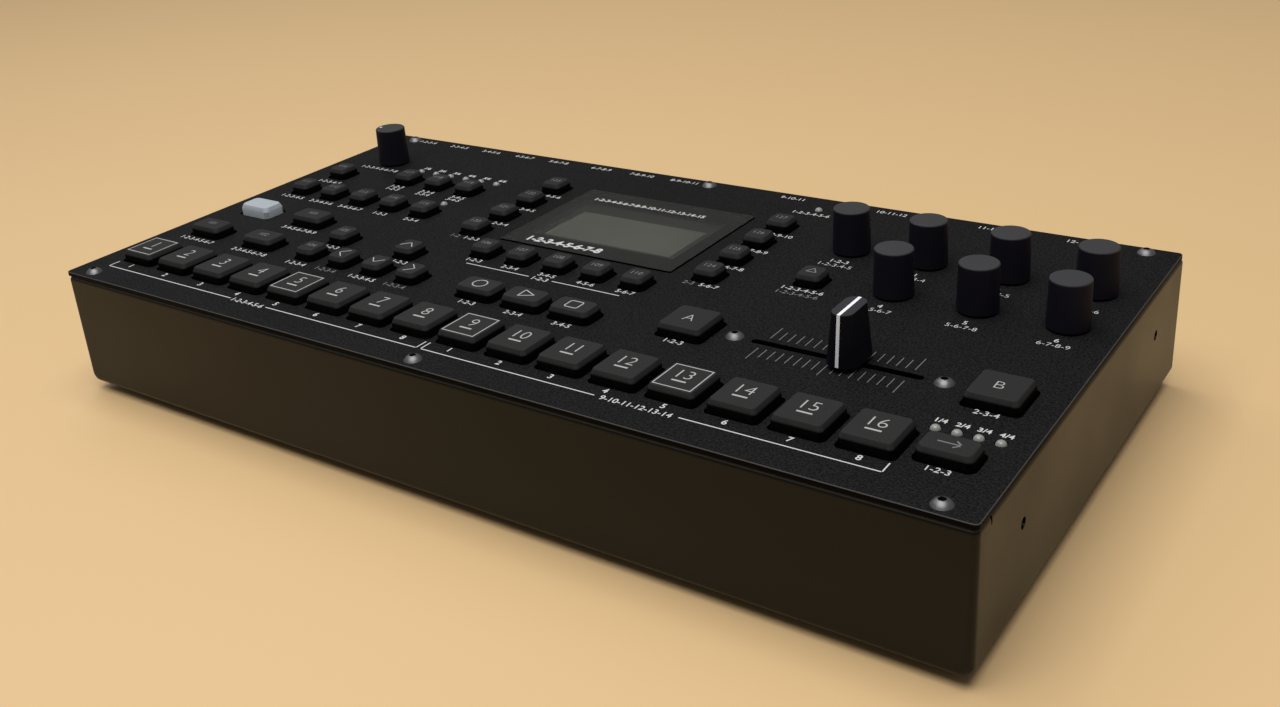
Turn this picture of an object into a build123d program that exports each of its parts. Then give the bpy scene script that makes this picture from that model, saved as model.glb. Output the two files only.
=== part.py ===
# Desktop audio sampler: a folded steel case with a flat control panel on top.
# Millimetres, +Z up, origin under the middle of the whole object, on the surface that it stands on.
# Places on the panel are measured from its front left corner, X to the right and Y to the back.
import os

from build123d import *

# Sheet metal case
SHEET = 1.2
CASE_H = 42.3
PANEL_T = 1.5
PANEL_CORNER = 1.5
PANEL_EDGE = 0.3
TOP_BEND = 2.0
SIDE_BEND = 3.5
FRONT_BEND = 2.0
FRONT_FLANGE = 9.5
SIDE_FLANGE = 6.0
REAR_FLANGE = 9.5
RELIEF_Y = 8.0
RELIEF_W = 0.8
RELIEF_H = 3.0
SEAM = 0.2

# Rubber feet
FOOT_H = 3.5
FOOT_D = 15.0
FOOT_INSET = 24.0

# Button-head screws, all alike
SCREW_D = 3.0
SCREW_L = 5.0
HEAD_D = 5.7
HEAD_H = 1.65
HEX_AF = 2.0
HEX_DEPTH = 1.3
THREAD_FIT = 0.05
SCREW_CLEAR = 0.25
SCREW_INSET_X = 10.4
SCREW_MID_X = 165.2
SCREW_INSET_Y = 4.4

# Side holes for an extra bracket
SIDE_HOLE_D = 3.4
SIDE_HOLE_Y = 31.1
SIDE_HOLE_SPACING = 118.4
SIDE_HOLE_DROP = 17.3

# Key caps: plan sizes at the foot of the bevel, heights above the panel
KEY_WIDE = 15.2
KEY_NARROW = 8.9
KEY_TALL = 15.6
KEY_SHORT = 9.6
KEY_CORNER = 1.6
SHORT_KEY_CORNER = 2.2
KEY_TOP_H = 3.9
KEY_BEVEL_H = 1.7
KEY_BEVEL = 0.8
KEY_EDGE = 0.35
KEY_GAP = 0.8
KEY_LIP = 0.5
KEY_LIP_T = 1.0
KEY_LIP_CLEAR = 0.3
KEY_TRAVEL = 0.8
STEM_D = 3.0
STEM_CLEAR = 0.3

# Key rows and columns: clear distances between caps
STEP_SPACE = 3.85
STEP_MARGIN = 18.4
STEP_RIGHT_MARGIN = 16.8
STEP_KEYS = 16
STEP_Y = 24.6
SMALL_SPACE = 7.3
ROW_SPACE = 6.6
PARAMETER_SPACE = 7.0
TRANSPORT_SPACE = 13.6
TRANSPORT_SHIFT = 9.0
SCENE_SPACE = 18.4
SCENE_A_COLUMN = 11
MODE_X = 19.4
MODE_SPACE = 13.6
MODE_ROW_SPACE = 14.8
NAVIGATION_SPACE = 13.05
PARAMETER_ROW_SPACE = 19.3
PARAMETER_KEYS = 5
MENU_X = 16.3
MENU_ROW_SPACE = 16.8
MENU_KEYS = 5
MIDI_SPACE = 11.2
RECORDER_SPACE = 16.5
TRACK_RISE = 2.95
TRACK_ROWS = 4
TRACK_SPACE = 8.3
TRACK_MENU_SPACE = 22.35
TEMPO_DROP = 2.0

# Tactile switches under the keys
SWITCH_W = 6.2
SWITCH_H = 3.5
STEM_DIP = 0.3

# Display
DISPLAY_SPACE = 7.85
WINDOW_W = 73.0
WINDOW_D = 56.7
WINDOW_CORNER = 0.8
WINDOW_CLEAR = 0.25
WINDOW_PROUD = 0.5
HOLDER_LEDGE = 2.0
GLASS_SIDE = 4.5
GLASS_END = 8.35
GLASS_T = 2.0
GLASS_SUNK = 1.4
GLASS_CLEAR = 0.3

# Knobs, their shafts and rotary bodies
KNOB_BASE_R = 6.35
KNOB_TOP_R = 6.05
KNOB_H = 14.9
KNOB_LIFT = 0.8
KNOB_EDGE = 0.6
KNOB_SKIN = 2.4
KNOB_PITCH = 27.0
KNOB_RIGHT_MARGIN = 14.8
KNOB_SPACE = 47.8
KNOB_ROW_STEP = 26.6
VOLUME_X = 25.0
VOLUME_RISE = 16.3
SHAFT_D = 6.0
SHAFT_RUN = 0.05
SHAFT_PRESS = 0.02
SHAFT_END = 1.2
BUSHING_D = 7.5
BUSHING_CLEAR = 0.3
BUSHING_OUT = 0.4
ROTARY_W = 12.0
ROTARY_H = 6.5

# Fader
FADER_RISE = 1.4
FADER_SHIFT = 0.7
FADER_TRAVEL = 45.1
FADER_AT = 27.1
SLOT_W = 2.8
SLOT_END = 2.1
CAP_BASE_W = 10.0
CAP_BASE_D = 16.2
CAP_TOP_W = 6.4
CAP_TOP_D = 13.6
CAP_LIFT = 1.5
CAP_H = 15.7
CAP_FLAT = 0.2
LEVER_W = 4.2
LEVER_T = 1.2
LEVER_GRIP = 8.0
LEVER_CLEAR = 0.4
LEVER_DIP = 4.0
FADER_H = 7.0
FADER_D = 9.0
FADER_SCREW_OUT = 8.0
FADER_END = 4.5

# LEDs
LED_D = 3.0
LED_OUT = 1.0
LED_CLEAR = 0.2
PAGE_LEDS = 4
PAGE_LED_PITCH = 5.7
PAGE_LED_RISE = 11.8
RECORDER_LED_APART = 8.2
RECORDER_LED_RISE = 11.8
MENU_LED_RISE = 11.0
CARD_LED_SHIFT = 3.75
CARD_LED_SETBACK = 2.3

# Boards
BOARD_T = 1.6
CONTROL_DROP = 9.5
CONTROL_MARGIN = 6.0
CONTROL_FRONT = 12.0
ROTARY_RIM = 1.0
JACK_BOARD_GAP = 1.75
TAB_W = 14.0
TAB_PAST_LED = 4.0
MAIN_MARGIN = 8.0
MAIN_FRONT = 62.0
MAIN_SETBACK = 0.8
STANDOFF_H = 6.0
STANDOFF_D = 6.0
STUD_D = 5.0
EDGE_STUD_X = 9.5
BACK_STUD_INSET = 10.0
SCENE_STUD_SPACE = 4.5

# Sockets on the rear panel, left to right as seen from the front
SOCKET_MARGIN = 10.8
JACK_W = 15.6
JACK_DEPTH = 23.0
JACK_H = 14.0
JACK_SPACE = 2.7
JACK_COLUMNS = 5
BUSH_D = 9.0
BUSH_CLEAR = 0.25
JACK_OUT = 7.0
PLUG_D = 6.4
PLUG_DEPTH = 26.0
NUT_AF = 12.0
NUT_T = 2.6
NUT_CLEAR = 0.05
DIN_W = 18.0
DIN_H = 19.0
DIN_DEPTH = 13.0
DIN_SPACE = 2.0
DIN_GAP = 5.1
DIN_COLUMNS = 3
DIN_SHELL_D = 15.0
DIN_RING_D = 13.4
DIN_CORE_D = 9.6
DIN_SOCKET_DEPTH = 8.0
DIN_PIN_D = 1.5
DIN_PIN_R = 3.3
DIN_PIN_STEP = 45.0
CARD_WALL = 2.3
CARD_H = 8.0
CARD_DEPTH = 34.0
CARD_GAP = 14.9
CARD_SLOT_W = 43.4
CARD_SLOT_H = 5.4
CARD_SLOT_DEPTH = 31.0
CARD_LIP = 1.6
USB_W = 12.0
USB_H = 11.0
USB_DEPTH = 16.0
USB_GAP = 10.0
USB_WALL = 1.5
USB_TONGUE_W = 5.6
USB_TONGUE_H = 3.0
USB_SOCKET_DEPTH = 9.0
DC_W = 9.0
DC_H = 11.0
DC_DEPTH = 14.0
DC_GAP = 27.4
DC_BORE_D = 6.4
DC_PIN_D = 2.0
DC_BORE_DEPTH = 9.5
POWER_W = 12.0
POWER_H = 12.0
POWER_DEPTH = 14.0
POWER_GAP = 20.0
POWER_BUTTON_D = 8.0
POWER_BUTTON_OUT = 5.5
POWER_BUTTON_EDGE = 0.8
POWER_TRAVEL = 3.0
POWER_DIP = 5.0
SOCKET_CLEAR = 0.3

# Pitches and places that follow
STEP_PITCH = KEY_WIDE + STEP_SPACE
SMALL_PITCH = KEY_NARROW + SMALL_SPACE
ROW_STEP = KEY_SHORT + ROW_SPACE
PARAMETER_PITCH = KEY_NARROW + PARAMETER_SPACE
PANEL_W = STEP_MARGIN + STEP_KEYS * STEP_PITCH + STEP_RIGHT_MARGIN
SCENE_A_X = STEP_MARGIN + SCENE_A_COLUMN * STEP_PITCH
PAGE_X = STEP_MARGIN + STEP_KEYS * STEP_PITCH
FADER_X = (SCENE_A_X + PAGE_X) / 2 - FADER_SHIFT
CAP_X = FADER_X - FADER_TRAVEL / 2 + FADER_AT
KNOB_X = PANEL_W - KNOB_RIGHT_MARGIN
LEVEL_X = KNOB_X - 3 * KNOB_PITCH
MODE_RIGHT_X = MODE_X + KEY_WIDE + MODE_SPACE
NAVIGATION_X = MODE_RIGHT_X + (KEY_WIDE + KEY_NARROW) / 2 + NAVIGATION_SPACE
MENU_RIGHT_X = MENU_X + (MENU_KEYS - 1) * SMALL_PITCH
TRACK_OUT = WINDOW_W / 2 + TRACK_SPACE + KEY_NARROW / 2 + KEY_GAP
TRACK_LEFT_X = MENU_RIGHT_X + KEY_NARROW + TRACK_MENU_SPACE
DISPLAY_X = TRACK_LEFT_X + TRACK_OUT
TRACK_RIGHT_X = DISPLAY_X + TRACK_OUT
TRANSPORT_X = DISPLAY_X + TRANSPORT_SHIFT
KEY_OUT = KEY_GAP + KEY_LIP

# Rows from the front edge to the back
TRANSPORT_Y = STEP_Y + (KEY_TALL + KEY_SHORT) / 2 + TRANSPORT_SPACE
SCENE_Y = STEP_Y + KEY_TALL + SCENE_SPACE
FADER_Y = SCENE_Y + FADER_RISE
MODE_Y = TRANSPORT_Y + KEY_SHORT + MODE_ROW_SPACE
PARAMETER_Y = TRANSPORT_Y + KEY_SHORT + PARAMETER_ROW_SPACE
MENU_Y = MODE_Y + KEY_SHORT + MENU_ROW_SPACE
MIDI_Y = MENU_Y + KEY_SHORT + MIDI_SPACE
RECORDER_Y = MENU_Y + KEY_SHORT + RECORDER_SPACE
VOLUME_Y = RECORDER_Y + VOLUME_RISE
KNOB_Y = FADER_Y + KNOB_SPACE
TEMPO_Y = KNOB_Y - TEMPO_DROP
WINDOW_FRONT = PARAMETER_Y + KEY_SHORT / 2 + DISPLAY_SPACE
DISPLAY_Y = WINDOW_FRONT + WINDOW_D / 2
TRACK_Y = WINDOW_FRONT + TRACK_RISE
TRACK_BACK = TRACK_Y + (TRACK_ROWS - 1) * ROW_STEP + KEY_SHORT / 2 + KEY_OUT

# The control board ends behind its last row, the jacks follow, and then the rear panel
HOLDER_BACK = WINDOW_FRONT + WINDOW_D + HOLDER_LEDGE
CONTROL_BACK = max(HOLDER_BACK, VOLUME_Y + ROTARY_W / 2 + ROTARY_RIM, TRACK_BACK)
PANEL_D = CONTROL_BACK + JACK_BOARD_GAP + JACK_DEPTH + SHEET
INNER_BACK = PANEL_D - SHEET
CARD_LED_X = TRACK_RIGHT_X + CARD_LED_SHIFT
CARD_LED_Y = PANEL_D - REAR_FLANGE - CARD_LED_SETBACK
GLASS_W = WINDOW_W - 2 * GLASS_SIDE
GLASS_D = WINDOW_D - 2 * GLASS_END
CARD_W = CARD_SLOT_W + 2 * CARD_WALL

# Heights
Z_FLOOR = FOOT_H + SHEET
Z_RIM = FOOT_H + CASE_H
Z_TOP = Z_RIM + PANEL_T
Z_CONTROL = Z_TOP - CONTROL_DROP
Z_MAIN = Z_FLOOR + STANDOFF_H + BOARD_T
Z_SWITCH = Z_CONTROL + SWITCH_H
Z_LIP = Z_RIM - KEY_LIP_CLEAR

# The panel's front left corner
LEFT = -PANEL_W / 2
FRONT = -(PANEL_D + JACK_OUT) / 2

# Key sizes: width, depth and corner radius
SQUARE = (KEY_WIDE, KEY_TALL, KEY_CORNER)
WIDE = (KEY_WIDE, KEY_SHORT, SHORT_KEY_CORNER)
SMALL = (KEY_NARROW, KEY_SHORT, SHORT_KEY_CORNER)


def at(x, y, z=0.0):
    """A place measured from the panel's front left corner."""
    return Pos(LEFT + x, FRONT + y, z)


def block(x0, x1, y0, y1, z0, z1):
    """A box between two corners, in panel places."""
    corner = (Align.MIN, Align.MIN, Align.MIN)
    return at(x0, y0, z0) * Box(x1 - x0, y1 - y0, z1 - z0, align=corner)


def post(radius, z0, z1):
    """An upright cylinder on the origin."""
    return Pos(0, 0, z0) * Cylinder(radius, z1 - z0, align=(Align.CENTER, Align.CENTER, Align.MIN))


def drum(radius, y0, y1):
    """A cylinder along Y on the origin, from y0 back to y1."""
    return Pos(0, y0, 0) * Rot(-90, 0, 0) * post(radius, 0, y1 - y0)


def row(first, pitch, count):
    """Evenly spaced places."""
    return [first + pitch * i for i in range(count)]


# Every key: its panel place and its size, in the node that it belongs to
step_places = [(x, STEP_Y) for x in row(STEP_MARGIN, STEP_PITCH, STEP_KEYS)]
keys = {f"step_key_{i + 1:02d}": [(*place, SQUARE)] for i, place in enumerate(step_places)}
transport_x = row(TRANSPORT_X - STEP_PITCH, STEP_PITCH, 3)
for name, x in zip(("record_key", "play_key", "stop_key"), transport_x):
    keys[name] = [(x, TRANSPORT_Y, WIDE)]
keys["scene_a_key"] = [(SCENE_A_X, SCENE_Y, SQUARE)]
keys["scene_b_key"] = [(PAGE_X, SCENE_Y, SQUARE)]
keys["page_key"] = [(PAGE_X, STEP_Y, WIDE)]
keys["function_key"] = [(MODE_X, MODE_Y, WIDE)]
keys["mode_keys"] = [(MODE_X, TRANSPORT_Y, WIDE), (MODE_RIGHT_X, TRANSPORT_Y, WIDE)]
keys["mode_keys"] += [(MODE_RIGHT_X, MODE_Y, WIDE), (LEVEL_X, TEMPO_Y, SMALL)]
navigation_x = row(NAVIGATION_X, SMALL_PITCH, 4)
keys["navigation_keys"] = [(x, TRANSPORT_Y, SMALL) for x in navigation_x]
keys["navigation_keys"] += [(x, TRANSPORT_Y + ROW_STEP, SMALL) for x in (navigation_x[0], navigation_x[2])]
parameter_x = row(DISPLAY_X - PARAMETER_PITCH * (PARAMETER_KEYS - 1) / 2, PARAMETER_PITCH, PARAMETER_KEYS)
keys["parameter_keys"] = [(x, PARAMETER_Y, SMALL) for x in parameter_x]
menu_x = row(MENU_X, SMALL_PITCH, MENU_KEYS)
recorder_x = menu_x[2:]
keys["menu_keys"] = [(x, MENU_Y, SMALL) for x in menu_x] + [(MENU_X, MIDI_Y, SMALL)]
keys["menu_keys"] += [(x, RECORDER_Y, SMALL) for x in recorder_x]
track_y = row(TRACK_Y, ROW_STEP, TRACK_ROWS)
keys["track_keys"] = [(x, y, SMALL) for x in (TRACK_LEFT_X, TRACK_RIGHT_X) for y in track_y]
all_keys = [key for group in keys.values() for key in group]

# Every knob's place
knobs = {"knob_level": (LEVEL_X, KNOB_Y + KNOB_ROW_STEP), "knob_volume": (VOLUME_X, VOLUME_Y)}
for letter, column, line in zip("abcdef", (0, 1, 2, 0, 1, 2), (1, 1, 1, 0, 0, 0)):
    knobs[f"knob_{letter}"] = (LEVEL_X + KNOB_PITCH * (column + 1), KNOB_Y + KNOB_ROW_STEP * line)

# Every LED's place
page_led_x = row(PAGE_X - PAGE_LED_PITCH * (PAGE_LEDS - 1) / 2, PAGE_LED_PITCH, PAGE_LEDS)
leds = [(x, STEP_Y + PAGE_LED_RISE) for x in page_led_x]
recorder_led_y = RECORDER_Y + RECORDER_LED_RISE
leds += [(x + side * RECORDER_LED_APART / 2, recorder_led_y) for x in recorder_x for side in (-1, 1)]
leds += [(menu_x[-1], MENU_Y + MENU_LED_RISE), (CARD_LED_X, CARD_LED_Y)]

# Screw places: six round the panel, two at the fader, three under the rear panel
SCREW_X = (SCREW_INSET_X, SCREW_MID_X, PANEL_W - SCREW_INSET_X)
rim_screws = [(x, y) for x in SCREW_X for y in (SCREW_INSET_Y, PANEL_D - SCREW_INSET_Y)]
SLOT_L = FADER_TRAVEL + LEVER_W + 2 * SLOT_END
FADER_SCREW_X = SLOT_L / 2 + FADER_SCREW_OUT - FADER_END / 2
fader_screws = [(FADER_X + side * FADER_SCREW_X, FADER_Y) for side in (-1, 1)]
floor_screws = [(x, INNER_BACK - REAR_FLANGE / 2) for x in SCREW_X]

# Sockets along the rear panel
jack_x = row(SOCKET_MARGIN + JACK_W / 2, JACK_W + JACK_SPACE, JACK_COLUMNS)
din_x = row(jack_x[-1] + JACK_W / 2 + DIN_GAP + DIN_W / 2, DIN_W + DIN_SPACE, DIN_COLUMNS)
card_x = din_x[-1] + DIN_W / 2 + CARD_GAP + CARD_W / 2
usb_x = card_x + CARD_W / 2 + USB_GAP + USB_W / 2
dc_x = usb_x + USB_W / 2 + DC_GAP + DC_W / 2
power_x = dc_x + DC_W / 2 + POWER_GAP + POWER_W / 2
low_jack_z = Z_MAIN + JACK_H / 2
jacks = [(x, low_jack_z) for x in jack_x] + [(x, low_jack_z + JACK_H) for x in jack_x[1:]]
din_z = Z_MAIN + DIN_H / 2
card_z = Z_MAIN + CARD_H / 2
usb_z = Z_MAIN + USB_H / 2
dc_z = Z_MAIN + DC_H / 2
power_z = Z_MAIN + POWER_H / 2


def key_cap(size):
    """A key: bevelled cap, skirt through the panel, retaining lip and stem."""
    width, depth, corner = size
    mid_z = Z_TOP + KEY_TOP_H - KEY_BEVEL_H
    foot = RectangleRounded(width, depth, corner)
    plateau = RectangleRounded(width - 2 * KEY_BEVEL, depth - 2 * KEY_BEVEL, corner - KEY_BEVEL / 2)
    cap = loft([Pos(0, 0, mid_z) * foot, Pos(0, 0, Z_TOP + KEY_TOP_H) * plateau])
    cap = fillet(cap.faces().sort_by(Axis.Z)[-1].edges(), KEY_EDGE)
    skirt = Pos(0, 0, Z_LIP) * extrude(foot, mid_z - Z_LIP)
    lip = RectangleRounded(width + 2 * KEY_OUT, depth + 2 * KEY_OUT, corner)
    lip = Pos(0, 0, Z_LIP - KEY_LIP_T) * extrude(lip, KEY_LIP_T)
    stem = post(STEM_D / 2, Z_SWITCH - STEM_DIP, Z_LIP - KEY_LIP_T)
    return cap + skirt + lip + stem


def tact_switch():
    """A switch body with a well that the key's stem presses into."""
    body = Pos(0, 0, Z_CONTROL) * extrude(Rectangle(SWITCH_W, SWITCH_W), SWITCH_H)
    well_z = Z_SWITCH - STEM_DIP - KEY_TRAVEL - STEM_CLEAR
    return body - post(STEM_D / 2 + STEM_CLEAR, well_z, Z_SWITCH)


def knob():
    """A tapered knob, bored from below for its shaft."""
    body = Pos(0, 0, Z_TOP + KNOB_LIFT + KNOB_H / 2) * Cone(KNOB_BASE_R, KNOB_TOP_R, KNOB_H)
    body = fillet(body.faces().sort_by(Axis.Z)[-1].edges(), KNOB_EDGE)
    shaft_top = Z_TOP + KNOB_LIFT + KNOB_H - KNOB_SKIN
    return body - post(SHAFT_D / 2 + SHAFT_PRESS, Z_TOP, shaft_top)


def shaft():
    """The shaft that turns with a knob."""
    return post(SHAFT_D / 2, Z_CONTROL + SHAFT_END, Z_TOP + KNOB_LIFT + KNOB_H - KNOB_SKIN)


def rotary_body():
    """An encoder or pot body with the bushing that its shaft turns in."""
    body = Pos(0, 0, Z_CONTROL) * extrude(Rectangle(ROTARY_W, ROTARY_W), ROTARY_H)
    body += post(BUSHING_D / 2, Z_CONTROL + ROTARY_H, Z_TOP + BUSHING_OUT)
    return body - post(SHAFT_D / 2 + SHAFT_RUN, Z_CONTROL + SHAFT_END, Z_TOP + BUSHING_OUT)


def screw():
    """A button-head screw with its head on z = 0."""
    dome_r = (HEAD_D**2 / 4 + HEAD_H**2) / (2 * HEAD_H)
    head = post(HEAD_D / 2, 0, HEAD_H) & (Pos(0, 0, HEAD_H - dome_r) * Sphere(dome_r))
    socket = extrude(RegularPolygon(HEX_AF / 2, 6, major_radius=False), HEX_DEPTH)
    return head + post(SCREW_D / 2, -SCREW_L, 0) - Pos(0, 0, HEAD_H - HEX_DEPTH) * socket


def led():
    """A round LED with a domed lens, standing on the control board."""
    radius = LED_D / 2
    dome = Z_TOP + LED_OUT - radius
    return post(radius, Z_CONTROL, dome) + (Pos(0, 0, dome) * Sphere(radius))


def top_panel():
    """The flat panel with an opening for everything that comes through it."""
    middle = (PANEL_W / 2, PANEL_D / 2)
    face = at(*middle) * RectangleRounded(PANEL_W, PANEL_D, PANEL_CORNER)
    cuts = []
    for x, y, (width, depth, corner) in all_keys:
        hole = (width + 2 * KEY_GAP, depth + 2 * KEY_GAP)
        cuts.append(at(x, y) * RectangleRounded(*hole, corner + KEY_GAP / 2))
    cuts += [at(x, y) * Circle(BUSHING_D / 2 + BUSHING_CLEAR) for x, y in knobs.values()]
    cuts += [at(x, y) * Circle(LED_D / 2 + LED_CLEAR) for x, y in leds]
    cuts += [at(x, y) * Circle(SCREW_D / 2 + SCREW_CLEAR) for x, y in rim_screws + fader_screws]
    cuts.append(at(FADER_X, FADER_Y) * SlotOverall(SLOT_L, SLOT_W))
    window = (WINDOW_W + 2 * WINDOW_CLEAR, WINDOW_D + 2 * WINDOW_CLEAR)
    cuts.append(at(DISPLAY_X, DISPLAY_Y) * RectangleRounded(*window, WINDOW_CORNER + WINDOW_CLEAR))
    panel = Pos(0, 0, Z_RIM) * extrude(face - cuts, PANEL_T)
    return fillet(panel.faces().sort_by(Axis.Z)[-1].outer_wire().edges(), PANEL_EDGE)


def bottom_case():
    """The folded tub: floor, front wall, side walls and their inward flanges."""
    case = block(0, PANEL_W, 0, PANEL_D, FOOT_H, Z_RIM)
    bottom = case.faces().sort_by(Axis.Z)[0]
    case = fillet(bottom.edges().filter_by(Axis.Y), SIDE_BEND)
    front_edge = case.faces().sort_by(Axis.Z)[0].edges().sort_by(Axis.Y)[0]
    case = fillet(front_edge, FRONT_BEND)
    rim = case.faces().sort_by(Axis.Z)[-1].edges().sort_by(Axis.Y)[:-1]
    case = fillet(rim, TOP_BEND)
    hollow = block(SHEET, PANEL_W - SHEET, SHEET, PANEL_D + 1, Z_FLOOR, Z_RIM - SHEET)
    hollow = fillet(hollow.faces().sort_by(Axis.Z)[0].edges().filter_by(Axis.Y), SIDE_BEND - SHEET)
    case -= hollow
    case -= block(SIDE_FLANGE, PANEL_W - SIDE_FLANGE, FRONT_FLANGE, PANEL_D + 1, Z_FLOOR, Z_RIM + 1)
    flange_end = PANEL_D - REAR_FLANGE - SEAM
    case -= block(SHEET, PANEL_W - SHEET, flange_end, PANEL_D + 1, Z_FLOOR + SIDE_BEND, Z_RIM + 1)
    for x in (0, PANEL_W):
        slit = (x - SIDE_FLANGE - 1, x + SIDE_FLANGE + 1, RELIEF_Y, RELIEF_Y + RELIEF_W)
        case -= block(*slit, Z_RIM - RELIEF_H, Z_RIM + 1)
        for y in (SIDE_HOLE_Y, SIDE_HOLE_Y + SIDE_HOLE_SPACING):
            case -= at(x, y, Z_TOP - SIDE_HOLE_DROP) * Rot(0, 90, 0) * Cylinder(SIDE_HOLE_D / 2, 4 * SHEET)
    for x, y in rim_screws[::2]:
        case -= at(x, y) * post(SCREW_D / 2 + THREAD_FIT, Z_RIM - 2 * SHEET, Z_RIM + 1)
    for x, y in floor_screws:
        case -= at(x, y) * post(SCREW_D / 2 + SCREW_CLEAR, 0, Z_FLOOR + 0.1)
    return case


def rear_panel():
    """The back wall with its own flanges, standing between the side walls on the floor."""
    left, right = SHEET, PANEL_W - SHEET
    wall = block(left, right, INNER_BACK, PANEL_D, Z_FLOOR + SHEET, Z_RIM)
    wall += block(left, right, PANEL_D - REAR_FLANGE, INNER_BACK, Z_RIM - SHEET, Z_RIM)
    wall += block(SIDE_BEND, PANEL_W - SIDE_BEND, PANEL_D - REAR_FLANGE, PANEL_D, Z_FLOOR, Z_FLOOR + SHEET)
    wall = fillet(wall.edges().filter_by(Axis.X).group_by(Axis.Z)[-1].sort_by(Axis.Y)[-1], TOP_BEND)
    through = (INNER_BACK - 1, PANEL_D + 1)
    for x, z in jacks:
        wall -= at(x, 0, z) * drum(BUSH_D / 2 + BUSH_CLEAR, *through)
    for x in din_x:
        wall -= at(x, 0, din_z) * drum(DIN_SHELL_D / 2 + SOCKET_CLEAR, *through)
    slot = (CARD_SLOT_W / 2 + CARD_LIP, CARD_SLOT_H / 2 + CARD_LIP)
    wall -= block(card_x - slot[0], card_x + slot[0], *through, card_z - slot[1], card_z + slot[1])
    half = USB_W / 2 + SOCKET_CLEAR
    wall -= block(usb_x - half, usb_x + half, *through, Z_MAIN, Z_MAIN + USB_H + SOCKET_CLEAR)
    wall -= at(dc_x, 0, dc_z) * drum(DC_BORE_D / 2 + SOCKET_CLEAR, *through)
    wall -= at(power_x, 0, power_z) * drum(POWER_BUTTON_D / 2 + SOCKET_CLEAR, *through)
    for x, y in rim_screws[1::2]:
        wall -= at(x, y) * post(SCREW_D / 2 + THREAD_FIT, Z_RIM - 2 * SHEET, Z_RIM + 1)
    for x, y in floor_screws:
        wall -= at(x, y) * post(SCREW_D / 2 + THREAD_FIT, Z_FLOOR - 1, Z_FLOOR + 2 * SHEET)
    return wall


def foot():
    """A rubber foot with softened edges."""
    disc = post(FOOT_D / 2, 0, FOOT_H)
    return fillet(disc.faces().sort_by(Axis.Z)[0].edges(), PANEL_EDGE)


def display_module():
    """The holder under the window, and the display glass in its pocket."""
    half_w = WINDOW_W / 2 + HOLDER_LEDGE
    half_d = WINDOW_D / 2 + HOLDER_LEDGE
    x, y = DISPLAY_X, DISPLAY_Y
    holder = block(x - half_w, x + half_w, y - half_d, y + half_d, Z_CONTROL, Z_RIM)
    glass_z = Z_RIM - GLASS_SUNK - GLASS_T
    pocket_w = GLASS_W / 2 + GLASS_CLEAR
    pocket_d = GLASS_D / 2 + GLASS_CLEAR
    holder -= block(x - pocket_w, x + pocket_w, y - pocket_d, y + pocket_d, glass_z, Z_RIM)
    sides = (x - GLASS_W / 2, x + GLASS_W / 2, y - GLASS_D / 2, y + GLASS_D / 2)
    glass = block(*sides, glass_z, glass_z + GLASS_T)
    return Compound([holder, glass])


def display_window():
    """The window plate, let into the panel on the holder's rim and a little proud of it."""
    plate = RectangleRounded(WINDOW_W, WINDOW_D, WINDOW_CORNER)
    return at(DISPLAY_X, DISPLAY_Y, Z_RIM) * extrude(plate, PANEL_T + WINDOW_PROUD)


def fader_cap():
    """The fader's finger cap, slotted from below for its lever."""
    base_z = Z_TOP + CAP_LIFT
    base = Pos(0, 0, base_z) * RectangleRounded(CAP_BASE_W, CAP_BASE_D, CAP_BASE_W / 2 - CAP_FLAT)
    top = Pos(0, 0, base_z + CAP_H) * RectangleRounded(CAP_TOP_W, CAP_TOP_D, CAP_TOP_W / 2 - CAP_FLAT)
    cap = loft([base, top])
    slot = Rectangle(LEVER_W + 2 * SHAFT_PRESS, LEVER_T + 2 * SHAFT_PRESS)
    return at(CAP_X, FADER_Y) * (cap - Pos(0, 0, base_z) * extrude(slot, LEVER_GRIP))


def fader_lever():
    """The blade that carries the cap through the slot."""
    blade = extrude(Rectangle(LEVER_W, LEVER_T), PANEL_T + LEVER_DIP + CAP_LIFT + LEVER_GRIP)
    return at(CAP_X, FADER_Y, Z_RIM - LEVER_DIP) * blade


def fader_body():
    """The fader's track under the panel, with the groove that its lever runs in."""
    x, y = FADER_X, FADER_Y
    half = SLOT_L / 2 + FADER_SCREW_OUT
    track = block(x - half, x + half, y - FADER_D / 2, y + FADER_D / 2, Z_RIM - FADER_H, Z_RIM)
    groove = SlotOverall(SLOT_L, LEVER_T + 2 * LEVER_CLEAR)
    depth = LEVER_DIP + LEVER_CLEAR
    track -= at(x, y, Z_RIM - depth) * extrude(groove, depth)
    for hole_x, hole_y in fader_screws:
        track -= at(hole_x, hole_y) * post(SCREW_D / 2 + THREAD_FIT, Z_RIM - FADER_H, Z_RIM)
    return track


def control_board():
    """The board under the panel, with a tab out to the card LED."""
    low, high = Z_CONTROL - BOARD_T, Z_CONTROL
    board = block(CONTROL_MARGIN, PANEL_W - CONTROL_MARGIN, CONTROL_FRONT, CONTROL_BACK, low, high)
    tab_back = CARD_LED_Y + TAB_PAST_LED
    return board + block(CARD_LED_X - TAB_W / 2, CARD_LED_X + TAB_W / 2, CONTROL_BACK, tab_back, low, high)


def main_board():
    """The board on the floor that carries the rear sockets."""
    back = INNER_BACK - MAIN_SETBACK
    return block(MAIN_MARGIN, PANEL_W - MAIN_MARGIN, MAIN_FRONT, back, Z_MAIN - BOARD_T, Z_MAIN)


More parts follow.
